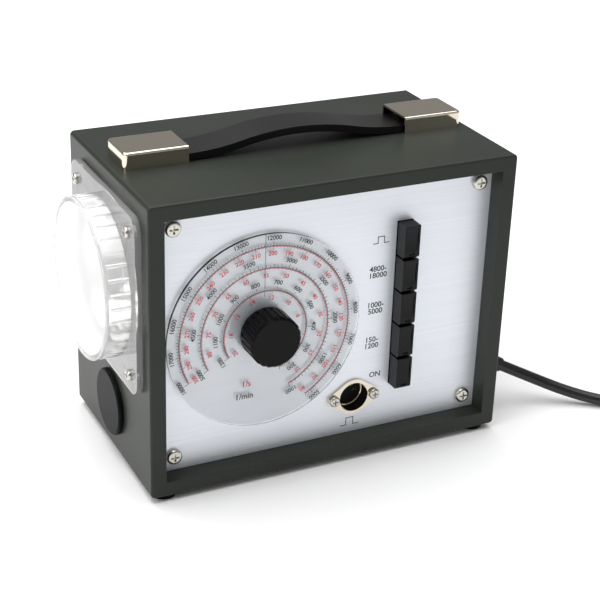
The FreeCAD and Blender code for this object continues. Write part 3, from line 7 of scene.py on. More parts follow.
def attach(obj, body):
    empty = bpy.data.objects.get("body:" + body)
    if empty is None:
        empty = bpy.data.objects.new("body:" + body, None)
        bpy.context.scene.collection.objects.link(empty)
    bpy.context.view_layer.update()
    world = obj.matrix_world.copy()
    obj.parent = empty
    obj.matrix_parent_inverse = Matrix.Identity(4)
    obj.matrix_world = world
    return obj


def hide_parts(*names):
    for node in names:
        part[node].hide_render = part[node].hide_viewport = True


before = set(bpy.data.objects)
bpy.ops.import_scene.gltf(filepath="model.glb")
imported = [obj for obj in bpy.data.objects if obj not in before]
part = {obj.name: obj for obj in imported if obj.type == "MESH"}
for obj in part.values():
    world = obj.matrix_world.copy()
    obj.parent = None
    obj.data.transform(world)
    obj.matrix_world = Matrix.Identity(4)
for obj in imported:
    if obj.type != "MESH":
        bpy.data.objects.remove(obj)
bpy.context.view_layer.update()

# The camera stands to the left of the instrument and above it, at about 0.8 m, and looks down
# on the lamp's side and the front. It has a long lens, as a product photographer uses.
camera_data = bpy.data.cameras.new("camera")
camera_data.lens = 91.501
camera_data.sensor_width = 36.0
camera_data.clip_start = 0.05
camera = bpy.data.objects.new("camera", camera_data)
camera.location = (-0.29915, -0.63337, 0.40065)
camera.rotation_euler = [math.radians(angle) for angle in (64.6018, -1.7196, -25.5888)]
bpy.context.scene.collection.objects.link(camera)
bpy.context.scene.camera = camera
bpy.context.scene.view_settings.view_transform = "Standard"


# White paper on a table in a grey room. A very large soft box hangs over it, a smaller one stands
# on the left and a weak one on the right, so the paper is plain white and its shadow is faint.
def colour(code):
    """An sRGB hex colour, as linear red, green, blue and alpha."""
    linear = []
    for start in (1, 3, 5):
        level = int(code[start:start + 2], 16) / 255
        linear.append(level / 12.92 if level <= 0.04045 else ((level + 0.055) / 1.055) ** 2.4)
    return (*linear, 1.0)


def add_node(material, kind, inputs=None, links=None, **settings):
    """Adds one node to a material, with its own settings, input values and incoming links."""
    made = material.node_tree.nodes.new(kind)
    for name, value in settings.items():
        setattr(made, name, value)
    for name, value in (inputs or {}).items():
        made.inputs[name].default_value = value
    for name, source in (links or {}).items():
        material.node_tree.links.new(source, made.inputs[name])
    return made


def new_material(name):
    """An empty material and its output node."""
    material = bpy.data.materials.new(name)
    material.use_nodes = True
    material.node_tree.nodes.clear()
    return material, add_node(material, "ShaderNodeOutputMaterial")


def surface(material, output, shader):
    """Joins a shader to the material's output."""
    material.node_tree.links.new(shader.outputs[0], output.inputs["Surface"])


for seen in bpy.context.selected_objects:
    seen.select_set(False)
bpy.ops.mesh.primitive_plane_add(size=12.0, location=(0.0, 0.0, 0.0))
paper = bpy.context.object
paper.name = "paper"
paper_white, output = new_material("matte_paper")
place = add_node(paper_white, "ShaderNodeTexCoord")
grain = add_node(paper_white, "ShaderNodeTexNoise", {"Scale": 900.0, "Detail": 3.0},
                 {"Vector": place.outputs["Object"]})
height = add_node(paper_white, "ShaderNodeBump", {"Strength": 0.04, "Distance": 0.0002},
                  {"Height": grain.outputs["Fac"]})
shader = add_node(paper_white, "ShaderNodeBsdfPrincipled",
                  {"Base Color": colour("#FDFDFD"), "Roughness": 0.9, "Specular IOR Level": 0.1},
                  {"Normal": height.outputs["Normal"]})
surface(paper_white, output, shader)
paper.data.materials.append(paper_white)

world = bpy.data.worlds.new("studio")
bpy.context.scene.world = world
world.use_nodes = True
world.node_tree.nodes.clear()
world_output = world.node_tree.nodes.new("ShaderNodeOutputWorld")
room_grey = world.node_tree.nodes.new("ShaderNodeBackground")
room_grey.inputs["Color"].default_value = (1.0, 1.0, 1.0, 1.0)
room_grey.inputs["Strength"].default_value = 0.28
world.node_tree.links.new(room_grey.outputs[0], world_output.inputs["Surface"])

for name, place, aim, size, power in (
        ("top_soft_box", (-0.1, 0.35, 1.5), (0.0, 0.25, 0.0), 2.0, 38.0),
        ("side_soft_box", (-1.1, -0.25, 0.75), (0.0, 0.0, 0.08), 0.7, 4.6),
        ("fill_soft_box", (0.95, -0.85, 0.55), (0.0, 0.0, 0.08), 0.7, 0.6)):
    lamp_data = bpy.data.lights.new(name, "AREA")
    lamp_data.shape = "SQUARE"
    lamp_data.size = size
    lamp_data.energy = power
    soft_box = bpy.data.objects.new(name, lamp_data)
    soft_box.location = place
    way = Vector(aim) - Vector(place)
    soft_box.rotation_euler = way.to_track_quat("-Z", "Y").to_euler()
    bpy.context.scene.collection.objects.link(soft_box)

# Mains cord: black PVC, 6 mm, out of its boot on the right side, down to the table and away to
# the right. The length that isn't in use is wound into a coil of two layers, with the plug beside it.
cord_d = 0.006
cord_points = [(0.1221, -0.0295, 0.0205), (0.1381, -0.0355, 0.0128), (0.1546, -0.0470, 0.0064),
               (0.1706, -0.0590, 0.0030), (0.1880, -0.0720, 0.0030), (0.2190, -0.0880, 0.0030)]
# Three turns wind inward on the table, step up a layer and wind out again on top.
coil_centre = (0.24566, -0.04943)
coil_outer_r = 0.0465
layer_rise = 0.0067
turn_quarters = 12
first_angle = math.atan2(-0.09075 - coil_centre[1], 0.22433 - coil_centre[0])
points_in_quarter = 3
outward = 1.0 / math.cos(math.radians(90 / points_in_quarter / 2))
for i in range(1, points_in_quarter * (2 * turn_quarters + 1) + 1):
    quarter = i / points_in_quarter
    wound = turn_quarters + 1 - abs(quarter - turn_quarters - 1)
    radius = (coil_outer_r - layer_rise / 4 * wound) * outward
    angle = first_angle + math.pi / 2 * quarter
    step_up = min(2.0, max(0.0, quarter - turn_quarters)) / 2
    cord_points.append((coil_centre[0] + radius * math.cos(angle),
                        coil_centre[1] + radius * math.sin(angle), 0.003 + layer_rise * step_up))
cord_points += [(0.28824, -0.06466, 0.0097), (0.29581, -0.05000, 0.0097),
                (0.30268, -0.03188, 0.01395), (0.30565, -0.01175, 0.0182)]
cord_line = bpy.data.curves.new("mains_lead", "CURVE")
cord_line.dimensions = "3D"
run = cord_line.splines.new("NURBS")
run.points.add(len(cord_points) - 1)
for point, place in zip(run.points, cord_points):
    point.co = (*place, 1.0)
run.order_u = 3
run.use_endpoint_u = True
run.resolution_u = 6
cord_line.bevel_depth = cord_d / 2
cord_line.bevel_resolution = 5
cord_line.use_fill_caps = True
cord = bpy.data.objects.new("mains_lead", cord_line)
bpy.context.scene.collection.objects.link(cord)


def finish_nodes(names, material):
    """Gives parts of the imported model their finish."""
    for name in names:
        part[name].data.materials.clear()
        part[name].data.materials.append(material)


pvc, output = new_material("black_pvc_sheath")
place = add_node(pvc, "ShaderNodeTexCoord")
die_lines = add_node(pvc, "ShaderNodeTexNoise", {"Scale": 350.0, "Detail": 4.0},
                     {"Vector": place.outputs["Object"]})
height = add_node(pvc, "ShaderNodeBump", {"Strength": 0.12, "Distance": 0.0002},
                  {"Height": die_lines.outputs["Fac"]})
dust = add_node(pvc, "ShaderNodeTexNoise", {"Scale": 60.0, "Detail": 5.0},
                {"Vector": place.outputs["Object"]})
sheen = add_node(pvc, "ShaderNodeMapRange", {"To Min": 0.28, "To Max": 0.44},
                 {"Value": dust.outputs["Fac"]})
shader = add_node(pvc, "ShaderNodeBsdfPrincipled", {"Base Color": colour("#0A0B0D"), "IOR": 1.53},
                  {"Normal": height.outputs["Normal"], "Roughness": sheen.outputs["Result"]})
surface(pvc, output, shader)
cord_line.materials.append(pvc)
finish_nodes(["strain_relief", "mains_plug"], pvc)
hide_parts("mains_cord", "cord_coil", "cord_tail")
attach(cord, "instrument")

# Case wrap and rear plate: folded sheet steel, stove enamelled dark olive grey. The enamel is
# satin, with a faint orange peel, 1.4 mm from crest to crest, and slight clouds.
enamel, output = new_material("stove_enamel_olive_grey")
place = add_node(enamel, "ShaderNodeTexCoord")
peel = add_node(enamel, "ShaderNodeTexNoise", {"Scale": 700.0, "Detail": 2.0, "Roughness": 0.4},
                {"Vector": place.outputs["Object"]})
height = add_node(enamel, "ShaderNodeBump", {"Strength": 0.22, "Distance": 0.00025},
                  {"Height": peel.outputs["Fac"]})
cloud = add_node(enamel, "ShaderNodeTexNoise", {"Scale": 18.0, "Detail": 5.0},
                 {"Vector": place.outputs["Object"]})
ramp = add_node(enamel, "ShaderNodeValToRGB", None, {"Fac": cloud.outputs["Fac"]})
ramp.color_ramp.elements[0].position = 0.3
ramp.color_ramp.elements[0].color = colour("#292D28")
ramp.color_ramp.elements[1].position = 0.7
ramp.color_ramp.elements[1].color = colour("#2F332D")
sheen = add_node(enamel, "ShaderNodeMapRange", {"To Min": 0.30, "To Max": 0.42},
                 {"Value": cloud.outputs["Fac"]})
shader = add_node(enamel, "ShaderNodeBsdfPrincipled", {"IOR": 1.5, "Specular IOR Level": 0.2},
                  {"Base Color": ramp.outputs["Color"], "Roughness": sheen.outputs["Result"],
                   "Normal": height.outputs["Normal"]})
surface(enamel, output, shader)
finish_nodes(["case_sleeve", "back_panel"], enamel)

# Zinc-plated steel inside the case: rails, tray, brackets, clamps, nuts and inside screws. The
# plating is pale and slightly mottled, in patches of 6 mm, with a dull bluish shine.
zinc, output = new_material("zinc_plated_steel")
place = add_node(zinc, "ShaderNodeTexCoord")
spangle = add_node(zinc, "ShaderNodeTexNoise", {"Scale": 160.0, "Detail": 4.0},
                   {"Vector": place.outputs["Object"]})
ramp = add_node(zinc, "ShaderNodeValToRGB", None, {"Fac": spangle.outputs["Fac"]})
ramp.color_ramp.elements[0].color = colour("#9EA3A6")
ramp.color_ramp.elements[1].color = colour("#BBC0C3")
sheen = add_node(zinc, "ShaderNodeMapRange", {"To Min": 0.28, "To Max": 0.45},
                 {"Value": spangle.outputs["Fac"]})
shader = add_node(zinc, "ShaderNodeBsdfPrincipled", {"Metallic": 1.0},
                  {"Base Color": ramp.outputs["Color"], "Roughness": sheen.outputs["Result"]})
surface(zinc, output, shader)
finish_nodes(["panel_rails", "key_bank_bracket", "lamp_clamp_ring", "chassis_tray", "transformer_clamp",
              "capacitor_clip", "potentiometer_nut", "potentiometer_shaft", "knob_grub_screw",
              "trigger_socket_nuts", "feet_nuts", "feet_screws", "handle_screws", "transformer_screws",
              "board_screws"], zinc)

# Front panel: 2 mm aluminium, brushed along its length and clear anodised, so it is a pale
# blue-white with fine level lines that run the whole width. The real lines are some 0.05 mm apart, too
# fine to show, so these are drawn 0.4 mm apart.
brushed, output = new_material("brushed_anodised_aluminium")
place = add_node(brushed, "ShaderNodeTexCoord")
drawn = add_node(brushed, "ShaderNodeMapping", {"Scale": (6.0, 6.0, 2600.0)},
                 {"Vector": place.outputs["Object"]})
lines = add_node(brushed, "ShaderNodeTexNoise", {"Scale": 1.0, "Detail": 6.0, "Roughness": 0.75},
                 {"Vector": drawn.outputs["Vector"]})
ramp = add_node(brushed, "ShaderNodeValToRGB", None, {"Fac": lines.outputs["Fac"]})
ramp.color_ramp.elements[0].position = 0.3
ramp.color_ramp.elements[0].color = colour("#E8EDF5")
ramp.color_ramp.elements[1].position = 0.7
ramp.color_ramp.elements[1].color = colour("#F6F8FC")
sheen = add_node(brushed, "ShaderNodeMapRange", {"To Min": 0.38, "To Max": 0.55},
                 {"Value": lines.outputs["Fac"]})
height = add_node(brushed, "ShaderNodeBump", {"Strength": 0.03, "Distance": 0.0001},
                  {"Height": lines.outputs["Fac"]})
shader = add_node(brushed, "ShaderNodeBsdfPrincipled", {"Metallic": 0.55},
                  {"Base Color": ramp.outputs["Color"], "Roughness": sheen.outputs["Result"],
                   "Normal": height.outputs["Normal"]})
surface(brushed, output, shader)
finish_nodes(["front_panel"], brushed)

# Panel, lamp cover and socket screws: pan heads with a cross, nickel or bright zinc on steel,
# mirror-like on the dome and darker down in the cross. The wear on them is in spots of 1 mm.
bright, output = new_material("bright_nickel_screws")
place = add_node(bright, "ShaderNodeTexCoord")
wear = add_node(bright, "ShaderNodeTexNoise", {"Scale": 900.0, "Detail": 3.0},
                {"Vector": place.outputs["Object"]})
sheen = add_node(bright, "ShaderNodeMapRange", {"To Min": 0.10, "To Max": 0.24},
                 {"Value": wear.outputs["Fac"]})
shader = add_node(bright, "ShaderNodeBsdfPrincipled",
                  {"Base Color": colour("#C9C6BE"), "Metallic": 1.0},
                  {"Roughness": sheen.outputs["Result"]})
surface(bright, output, shader)
finish_nodes(["front_panel_screws", "lamp_cover_screws", "trigger_socket_screws",
              "back_panel_screws"], bright)

# Handle caps and socket flange: steel pressings plated with warm bright nickel. The plating
# mirrors the room, with hardly visible ripples from the pressing, 11 mm apart.
nickel, output = new_material("warm_bright_nickel")
place = add_node(nickel, "ShaderNodeTexCoord")
ripple = add_node(nickel, "ShaderNodeTexNoise", {"Scale": 90.0, "Detail": 2.0},
                  {"Vector": place.outputs["Object"]})
height = add_node(nickel, "ShaderNodeBump", {"Strength": 0.05, "Distance": 0.0003},
                  {"Height": ripple.outputs["Fac"]})
haze = add_node(nickel, "ShaderNodeMapRange", {"To Min": 0.04, "To Max": 0.10},
                {"Value": ripple.outputs["Fac"]})
shader = add_node(nickel, "ShaderNodeBsdfPrincipled",
                  {"Base Color": colour("#E2D8C8"), "Metallic": 1.0},
                  {"Normal": height.outputs["Normal"], "Roughness": haze.outputs["Result"]})
surface(nickel, output, shader)
finish_nodes(["handle_caps", "trigger_socket_shell"], nickel)

# Printed lines and numbers: screen ink, matt black and a warm red. Each print is a sheet
# of ink 0.05 mm thick that stands on the panel or on the disc. Its specks are 0.4 mm apart.
inks = []
for name, code in (("black_screen_ink", "#101216"), ("red_screen_ink", "#D23A44")):
    screen_ink, output = new_material(name)
    place = add_node(screen_ink, "ShaderNodeTexCoord")
    speck = add_node(screen_ink, "ShaderNodeTexNoise", {"Scale": 2500.0, "Detail": 2.0},
                     {"Vector": place.outputs["Object"]})
    sheen = add_node(screen_ink, "ShaderNodeMapRange", {"To Min": 0.45, "To Max": 0.6},
                     {"Value": speck.outputs["Fac"]})
    shader = add_node(screen_ink, "ShaderNodeBsdfPrincipled", {"Base Color": colour(code)},
                      {"Roughness": sheen.outputs["Result"]})
    surface(screen_ink, output, shader)
    inks.append(screen_ink)
ink_black, ink_red = inks
ink = 0.00005


def print_words(name, words, size, place, turn, finish, body):
    """One printed word or number, centred on its place and turned clockwise in the panel's plane."""
    data = bpy.data.curves.new(name, "FONT")
    data.body = words
    data.size = size
    data.align_x = "CENTER"
    data.align_y = "CENTER"
    data.space_line = 0.85
    data.resolution_u = 3
    data.extrude = ink / 2
    data.offset = size * 0.016
    lettering = bpy.data.objects.new(name, data)
    bpy.context.scene.collection.objects.link(lettering)
    bpy.context.view_layer.update()
    mesh = bpy.data.meshes.new_from_object(lettering.evaluated_get(bpy.context.evaluated_depsgraph_get()))
    bpy.data.objects.remove(lettering)
    upright = Matrix.Rotation(math.pi / 2, 4, "X")
    mesh.transform(Matrix.Translation(place) @ Matrix.Rotation(turn, 4, "Y") @ upright)
    mesh.materials.clear()
    mesh.materials.append(finish)
    printed = bpy.data.objects.new(name, mesh)
    bpy.context.scene.collection.objects.link(printed)
    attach(printed, body)


def strip(bm, corners, y):
    """One flat printed mark, as thick as the ink, from its corners in the panel's plane."""
    low = [bm.verts.new((x, y, z)) for x, z in corners]
    high = [bm.verts.new((x, y - ink, z)) for x, z in corners]
    count = len(corners)
    bm.faces.new(low)
    bm.faces.new(list(reversed(high)))
    for i in range(count):
        bm.faces.new([low[i], high[i], high[(i + 1) % count], low[(i + 1) % count]])


def ink_piece(name, bm, finish, body):
    """Turns gathered marks into one piece."""
    bmesh.ops.recalc_face_normals(bm, faces=bm.faces[:])
    mesh = bpy.data.meshes.new(name)
    bm.to_mesh(mesh)
    bm.free()
    mesh.materials.append(finish)
    printed = bpy.data.objects.new(name, mesh)
    bpy.context.scene.collection.objects.link(printed)
    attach(printed, body)


# Scale disc: a clear acrylic disc with three printed scales. Flashes a minute stand outside each
# black arc, and the same speeds as flashes a second stand inside it in red.
dial_x, dial_z = -0.0264, 0.0772
disc_front = -0.0484
black_arc_w = 0.00034
red_arc_w = 0.00026
red_arc_in = 0.00045
mark_w = 0.0002
long_mark, middle_mark, short_mark = 0.0022, 0.0015, 0.0010
red_long_mark, red_mark_gap = 0.0018, 0.0003
number_gap = 0.0039
black_number_h, red_number_h, unit_h = 0.0031, 0.0030, 0.0042


def polar(radius, angle):
    """A place on the disc, its angle clockwise from the top."""
    return dial_x + radius * math.sin(angle), dial_z + radius * math.cos(angle)


def tick(bm, angle, inner, outer, width):
    """A straight radial mark."""
    half = width / 2
    across = (math.cos(angle) * half, -math.sin(angle) * half)
    a, b = polar(inner, angle), polar(outer, angle)
    strip(bm, [(a[0] - across[0], a[1] - across[1]), (b[0] - across[0], b[1] - across[1]),
               (b[0] + across[0], b[1] + across[1]), (a[0] + across[0], a[1] + across[1])], disc_front)


def arc(bm, radius, start, end, width):
    """A curved line of short pieces round the dial's centre."""
    steps = int((end - start) / math.radians(3)) + 1
    for i in range(steps):
        a = start + (end - start) * i / steps
        b = start + (end - start) * (i + 1) / steps
        strip(bm, [polar(radius - width / 2, a), polar(radius + width / 2, a),
                   polar(radius + width / 2, b), polar(radius - width / 2, b)], disc_front)


def number(name, words, size, radius, angle, finish):
    """A printed number that stands on the disc's front with its foot towards the middle."""
    x, z = polar(radius, angle)
    print_words(name, words, size, (x, disc_front - ink / 2, z), angle, finish, "dial")


# One row for a scale: its name, the arc's radius, the law's angle at speed nought and degrees for
# one flash a minute, its two ends, its steps of black marks, and its red steps and first red number.
scales = (
    ("outer", 0.0440, 246.6, -0.0202, (18000, 4800), (100, 500, 1000, 5000), (120, 600, 80)),
    ("middle", 0.0330, 225.6, -0.06848, (5000, 1000), (50, 100, 500, 1000), (60, 300, 20)),
    ("inner", 0.0215, 199.4, -0.26506, (1200, 150), (10, 50, 100, 200), (60, 120, 4)),
)
black_marks, red_marks = bmesh.new(), bmesh.new()
for name, radius, zero, slope, (high, low), black_steps, red_steps in scales:
    fine, half_way, full, least = black_steps
    red_fine, red_full, red_least = red_steps
    start, end = math.radians(zero + slope * high), math.radians(zero + slope * low)
    arc(black_marks, radius, start, end, black_arc_w)
    arc(red_marks, radius - red_arc_in, start, end, red_arc_w)
    for speed in range(high, low - 1, -fine):
        length = long_mark if speed % full == 0 else middle_mark if speed % half_way == 0 else short_mark
        tick(black_marks, math.radians(zero + slope * speed), radius, radius + length, mark_w)
    for speed in range(high, low - 1, -red_fine):
        length = red_long_mark if speed % red_full == 0 else short_mark
        tick(red_marks, math.radians(zero + slope * speed), radius - length, radius - red_mark_gap,
             mark_w)
    for speed in range(high, least - 1, -full):
        number(f"{name}_scale_{speed}", str(speed), black_number_h, radius + number_gap,
               math.radians(zero + slope * speed), ink_black)
    for speed in range(high // red_full * red_full, low - 1, -red_full):
        rate = speed // 60
        if rate >= red_least:
            number(f"{name}_rate_{rate}", str(rate), red_number_h, radius - number_gap,
                   math.radians(zero + slope * speed), ink_red)
ink_piece("scale_marks_black", black_marks, ink_black, "dial")
ink_piece("scale_marks_red", red_marks, ink_red, "dial")
for name, words, x, z, finish in (("rate_unit", "1/s", -0.0359, 0.0510, ink_red),
                                  ("speed_unit", "1/min", -0.0369, 0.0445, ink_black)):
    print_words(name, words, unit_h, (x, disc_front - ink / 2, z), 0.0, finish, "dial")


def let_lamps_through(material, output, shader, tint):
    """Finishes a clear material so that the lamps shine through it onto what lies behind."""
    clear = add_node(material, "ShaderNodeBsdfTransparent", {"Color": colour(tint)})
    rays = add_node(material, "ShaderNodeLightPath")
    either = add_node(material, "ShaderNodeMixShader", None,
                      {0: rays.outputs["Is Shadow Ray"], 1: shader.outputs[0], 2: clear.outputs[0]})
    surface(material, output, either)


acrylic, output = new_material("clear_cast_acrylic")
place = add_node(acrylic, "ShaderNodeTexCoord")
scuff = add_node(acrylic, "ShaderNodeTexNoise", {"Scale": 240.0, "Detail": 5.0},
                 {"Vector": place.outputs["Object"]})
sheen = add_node(acrylic, "ShaderNodeMapRange", {"To Min": 0.01, "To Max": 0.06},
                 {"Value": scuff.outputs["Fac"]})
shader = add_node(acrylic, "ShaderNodeBsdfPrincipled",
                  {"Base Color": colour("#FEFEFE"), "Transmission Weight": 1.0, "IOR": 1.49},
                  {"Roughness": sheen.outputs["Result"]})
let_lamps_through(acrylic, output, shader, "#F2F6F7")
finish_nodes(["scale_disc"], acrylic)

# Lamp cover: moulded clear polystyrene with a trace of milkiness, so its plate and ribs look
# whiter than the disc does.
styrene, output = new_material("moulded_clear_polystyrene")
place = add_node(styrene, "ShaderNodeTexCoord")
flow = add_node(styrene, "ShaderNodeTexNoise", {"Scale": 120.0, "Detail": 3.0},
                {"Vector": place.outputs["Object"]})
sheen = add_node(styrene, "ShaderNodeMapRange", {"To Min": 0.02, "To Max": 0.10},
                 {"Value": flow.outputs["Fac"]})
shader = add_node(styrene, "ShaderNodeBsdfPrincipled",
                  {"Base Color": colour("#FFFFFF"), "Transmission Weight": 0.74, "IOR": 1.5},
                  {"Roughness": sheen.outputs["Result"]})
let_lamps_through(styrene, output, shader, "#FCFCFC")
finish_nodes(["lamp_cover"], styrene)

# Panel prints: the dial's hairline, the speed range beside each key, and a pulse sign for the
# socket and the key that hands the timing to it.
panel_front = -0.0461
label_h = 0.0040
left, right = dial_x - 0.00012, dial_x + 0.00012
low_z, high_z = dial_z + 0.0175, dial_z + 0.0497
hairline = bmesh.new()
strip(hairline, [(left, low_z), (left, high_z), (right, high_z), (right, low_z)], panel_front)
ink_piece("hairline", hairline, ink_black, "instrument")
for name, words, x, z in (("label_high_range", "4800-\n18000", 0.0341, 0.0971),
                          ("label_middle_range", "1000-\n5000", 0.0337, 0.0778),
                          ("label_low_range", "150-\n1200", 0.0326, 0.0589),
                          ("label_mains", "ON", 0.0355, 0.0407)):
    print_words(name, words, label_h, (x, panel_front - ink / 2, z), 0.0, ink_black, "instrument")
half_stroke = 0.0002
for name, x, z, unit in (("sign_key", 0.0350, 0.1140, 0.0017), ("sign_socket", 0.0224, 0.0168, 0.0020)):
    pulse = bmesh.new()
    corners = [(-2.5, -1), (-1.0, -1), (-1.0, 1), (1.0, 1), (1.0, -1), (2.5, -1)]
    places = [(x + across * unit, z + up * unit) for across, up in corners]
    for (x0, z0), (x1, z1) in zip(places, places[1:]):
        left, right = min(x0, x1) - half_stroke, max(x0, x1) + half_stroke
        low_z, high_z = min(z0, z1) - half_stroke, max(z0, z1) + half_stroke
        strip(pulse, [(left, low_z), (left, high_z), (right, high_z), (right, low_z)], panel_front)
    ink_piece(name, pulse, ink_black, "instrument")

# Knob and keys: black moulded plastic. The knob is satin from handling, and the keys keep
# more of the mould's shine. The shine is weak, as in a room that is dark in front of them.
knob_black, output = new_material("satin_black_phenolic")
place = add_node(knob_black, "ShaderNodeTexCoord")
touch = add_node(knob_black, "ShaderNodeTexNoise", {"Scale": 420.0, "Detail": 4.0},
                 {"Vector": place.outputs["Object"]})
sheen = add_node(knob_black, "ShaderNodeMapRange", {"To Min": 0.26, "To Max": 0.4},
                 {"Value": touch.outputs["Fac"]})
height = add_node(knob_black, "ShaderNodeBump", {"Strength": 0.08, "Distance": 0.0002},
                  {"Height": touch.outputs["Fac"]})
shader = add_node(knob_black, "ShaderNodeBsdfPrincipled",
                  {"Base Color": colour("#060607"), "IOR": 1.52, "Specular IOR Level": 0.12},
                  {"Roughness": sheen.outputs["Result"], "Normal": height.outputs["Normal"]})
surface(knob_black, output, shader)
finish_nodes(["control_knob"], knob_black)
key_black, output = new_material("gloss_black_abs")
place = add_node(key_black, "ShaderNodeTexCoord")
touch = add_node(key_black, "ShaderNodeTexNoise", {"Scale": 300.0, "Detail": 5.0},
                 {"Vector": place.outputs["Object"]})
sheen = add_node(key_black, "ShaderNodeMapRange", {"To Min": 0.12, "To Max": 0.26},
                 {"Value": touch.outputs["Fac"]})
shader = add_node(key_black, "ShaderNodeBsdfPrincipled",
                  {"Base Color": colour("#08090A"), "IOR": 1.54, "Specular IOR Level": 0.16},
                  {"Roughness": sheen.outputs["Result"]})
surface(key_black, output, shader)
finish_nodes(["key_external", "key_high_range", "key_middle_range", "key_low_range",
              "key_mains"], key_black)

# Black moulded parts that don't shine: the hole plug, the socket's insert, the switch and
# transformer mouldings, the capacitors' sleeves and the rubber feet. The mould's grain is 0.8 mm.
moulded, output = new_material("matt_black_nylon")
place = add_node(moulded, "ShaderNodeTexCoord")
texture = add_node(moulded, "ShaderNodeTexNoise", {"Scale": 1200.0, "Detail": 3.0},
                   {"Vector": place.outputs["Object"]})
sheen = add_node(moulded, "ShaderNodeMapRange", {"To Min": 0.34, "To Max": 0.55},
                 {"Value": texture.outputs["Fac"]})
height = add_node(moulded, "ShaderNodeBump", {"Strength": 0.15, "Distance": 0.0002},
                  {"Height": texture.outputs["Fac"]})
shader = add_node(moulded, "ShaderNodeBsdfPrincipled",
                  {"Base Color": colour("#0B0C0D"), "IOR": 1.53, "Specular IOR Level": 0.08},
                  {"Roughness": sheen.outputs["Result"], "Normal": height.outputs["Normal"]})
surface(moulded, output, shader)
finish_nodes(["side_plug", "key_switch_bank", "potentiometer", "trigger_socket_insert", "fuse_holder",
              "fuse_cap", "transformer_winding", "storage_capacitor", "board_capacitors",
              "trigger_transformer", "rubber_feet", "discharge_thyristor"], moulded)

# Brass: the socket's contacts, the plug's pins, the pillars under the circuit board and the
# tube's electrodes. It is turned, so it shines evenly, and tarnished a little in 5 mm patches.
brass, output = new_material("turned_brass")
place = add_node(brass, "ShaderNodeTexCoord")
tarnish = add_node(brass, "ShaderNodeTexNoise", {"Scale": 220.0, "Detail": 4.0},
                   {"Vector": place.outputs["Object"]})
ramp = add_node(brass, "ShaderNodeValToRGB", None, {"Fac": tarnish.outputs["Fac"]})
ramp.color_ramp.elements[0].color = colour("#B08D4A")
ramp.color_ramp.elements[1].color = colour("#D8B970")
shader = add_node(brass, "ShaderNodeBsdfPrincipled", {"Metallic": 1.0, "Roughness": 0.26},
                  {"Base Color": ramp.outputs["Color"]})
surface(brass, output, shader)
finish_nodes(["trigger_socket_contacts", "plug_pins", "board_standoffs", "flash_tube_electrodes"], brass)

# Reflector: a bowl spun from soft aluminium and polished. Faint spinning rings run round it,
# about 1.2 mm apart.
mirror, output = new_material("spun_polished_aluminium")
place = add_node(mirror, "ShaderNodeTexCoord")
centred = add_node(mirror, "ShaderNodeMapping", {"Location": (0.0, 0.00175, -0.098)},
                   {"Vector": place.outputs["Object"]})
rings = add_node(mirror, "ShaderNodeTexWave", {"Scale": 260.0, "Distortion": 0.6, "Detail": 2.0},
                 {"Vector": centred.outputs["Vector"]}, wave_type="RINGS", rings_direction="X")
height = add_node(mirror, "ShaderNodeBump", {"Strength": 0.10, "Distance": 0.0002},
                  {"Height": rings.outputs["Fac"]})
haze = add_node(mirror, "ShaderNodeMapRange", {"To Min": 0.06, "To Max": 0.16},
                {"Value": rings.outputs["Fac"]})
shader = add_node(mirror, "ShaderNodeBsdfPrincipled",
                  {"Base Color": colour("#F0EFEE"), "Metallic": 1.0},
                  {"Normal": height.outputs["Normal"], "Roughness": haze.outputs["Result"]})
surface(mirror, output, shader)
finish_nodes(["reflector"], mirror)

# Flash tube and fuse: drawn glass, clear, with slight streaks along the draw. The lamp base is
# glazed ceramic. The streaks are 8 mm wide and the glaze waves in 11 mm.
tube_glass, output = new_material("drawn_clear_glass")
place = add_node(tube_glass, "ShaderNodeTexCoord")
streak = add_node(tube_glass, "ShaderNodeTexNoise", {"Scale": 120.0, "Detail": 2.0},
                  {"Vector": place.outputs["Object"]})
sheen = add_node(tube_glass, "ShaderNodeMapRange", {"To Min": 0.0, "To Max": 0.04},
                 {"Value": streak.outputs["Fac"]})
shader = add_node(tube_glass, "ShaderNodeBsdfPrincipled", {"Base Color": colour("#FBFCFC"),
                                                          "Transmission Weight": 1.0, "IOR": 1.5},
                  {"Roughness": sheen.outputs["Result"]})
let_lamps_through(tube_glass, output, shader, "#F6F8F8")
finish_nodes(["flash_tube", "fuse"], tube_glass)
ceramic, output = new_material("glazed_steatite")
place = add_node(ceramic, "ShaderNodeTexCoord")
glaze = add_node(ceramic, "ShaderNodeTexNoise", {"Scale": 90.0, "Detail": 3.0},
                 {"Vector": place.outputs["Object"]})
sheen = add_node(ceramic, "ShaderNodeMapRange", {"To Min": 0.16, "To Max": 0.3},
                 {"Value": glaze.outputs["Fac"]})
shader = add_node(ceramic, "ShaderNodeBsdfPrincipled", {"Base Color": colour("#E9E6DD")},
                  {"Roughness": sheen.outputs["Result"]})
surface(ceramic, output, shader)
finish_nodes(["lamp_holder"], ceramic)

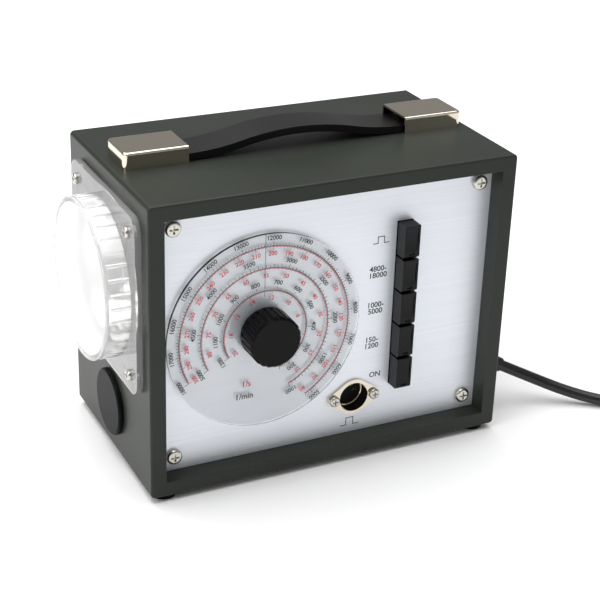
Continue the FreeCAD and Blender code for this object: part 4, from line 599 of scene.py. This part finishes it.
# Transformer core: varnished iron laminations, dark. The edges of the sheets show as fine lines,
# drawn 1 mm apart, because the real 0.5 mm is too fine to show.
laminated, output = new_material("varnished_laminations")
place = add_node(laminated, "ShaderNodeTexCoord")
sheets = add_node(laminated, "ShaderNodeTexWave", {"Scale": 320.0, "Distortion": 0.1},
                  {"Vector": place.outputs["Object"]}, bands_direction="Y")
height = add_node(laminated, "ShaderNodeBump", {"Strength": 0.3, "Distance": 0.0002},
                  {"Height": sheets.outputs["Fac"]})
shader = add_node(laminated, "ShaderNodeBsdfPrincipled",
                  {"Base Color": colour("#3A3835"), "Metallic": 0.6, "Roughness": 0.45},
                  {"Normal": height.outputs["Normal"]})
surface(laminated, output, shader)
finish_nodes(["transformer_core"], laminated)

# Circuit board: resin-bonded paper, brown, with its fibre showing as flecks of 2.5 mm.
laminate, output = new_material("bonded_paper_board")
place = add_node(laminate, "ShaderNodeTexCoord")
fibre = add_node(laminate, "ShaderNodeTexNoise", {"Scale": 400.0, "Detail": 5.0},
                 {"Vector": place.outputs["Object"]})
ramp = add_node(laminate, "ShaderNodeValToRGB", None, {"Fac": fibre.outputs["Fac"]})
ramp.color_ramp.elements[0].color = colour("#7A5A2C")
ramp.color_ramp.elements[1].color = colour("#97723C")
shader = add_node(laminate, "ShaderNodeBsdfPrincipled", {"Roughness": 0.4},
                  {"Base Color": ramp.outputs["Color"]})
surface(laminate, output, shader)
finish_nodes(["circuit_board"], laminate)

# Strap: black PVC over a steel band, embossed with a fine leather grain that softens its shine.
# The grain's cells are 1.1 mm wide.
strap_pvc, output = new_material("grained_black_strap")
place = add_node(strap_pvc, "ShaderNodeTexCoord")
cells = add_node(strap_pvc, "ShaderNodeTexVoronoi", {"Scale": 900.0},
                 {"Vector": place.outputs["Object"]},
                 feature="DISTANCE_TO_EDGE")
height = add_node(strap_pvc, "ShaderNodeBump", {"Strength": 0.25, "Distance": 0.0002},
                  {"Height": cells.outputs["Distance"]})
touch = add_node(strap_pvc, "ShaderNodeTexNoise", {"Scale": 40.0, "Detail": 4.0},
                 {"Vector": place.outputs["Object"]})
sheen = add_node(strap_pvc, "ShaderNodeMapRange", {"To Min": 0.26, "To Max": 0.42},
                 {"Value": touch.outputs["Fac"]})
shader = add_node(strap_pvc, "ShaderNodeBsdfPrincipled",
                  {"Base Color": colour("#060607"), "IOR": 1.53, "Specular IOR Level": 0.35},
                  {"Roughness": sheen.outputs["Result"], "Normal": height.outputs["Normal"]})
surface(strap_pvc, output, shader)
finish_nodes(["handle_strap"], strap_pvc)
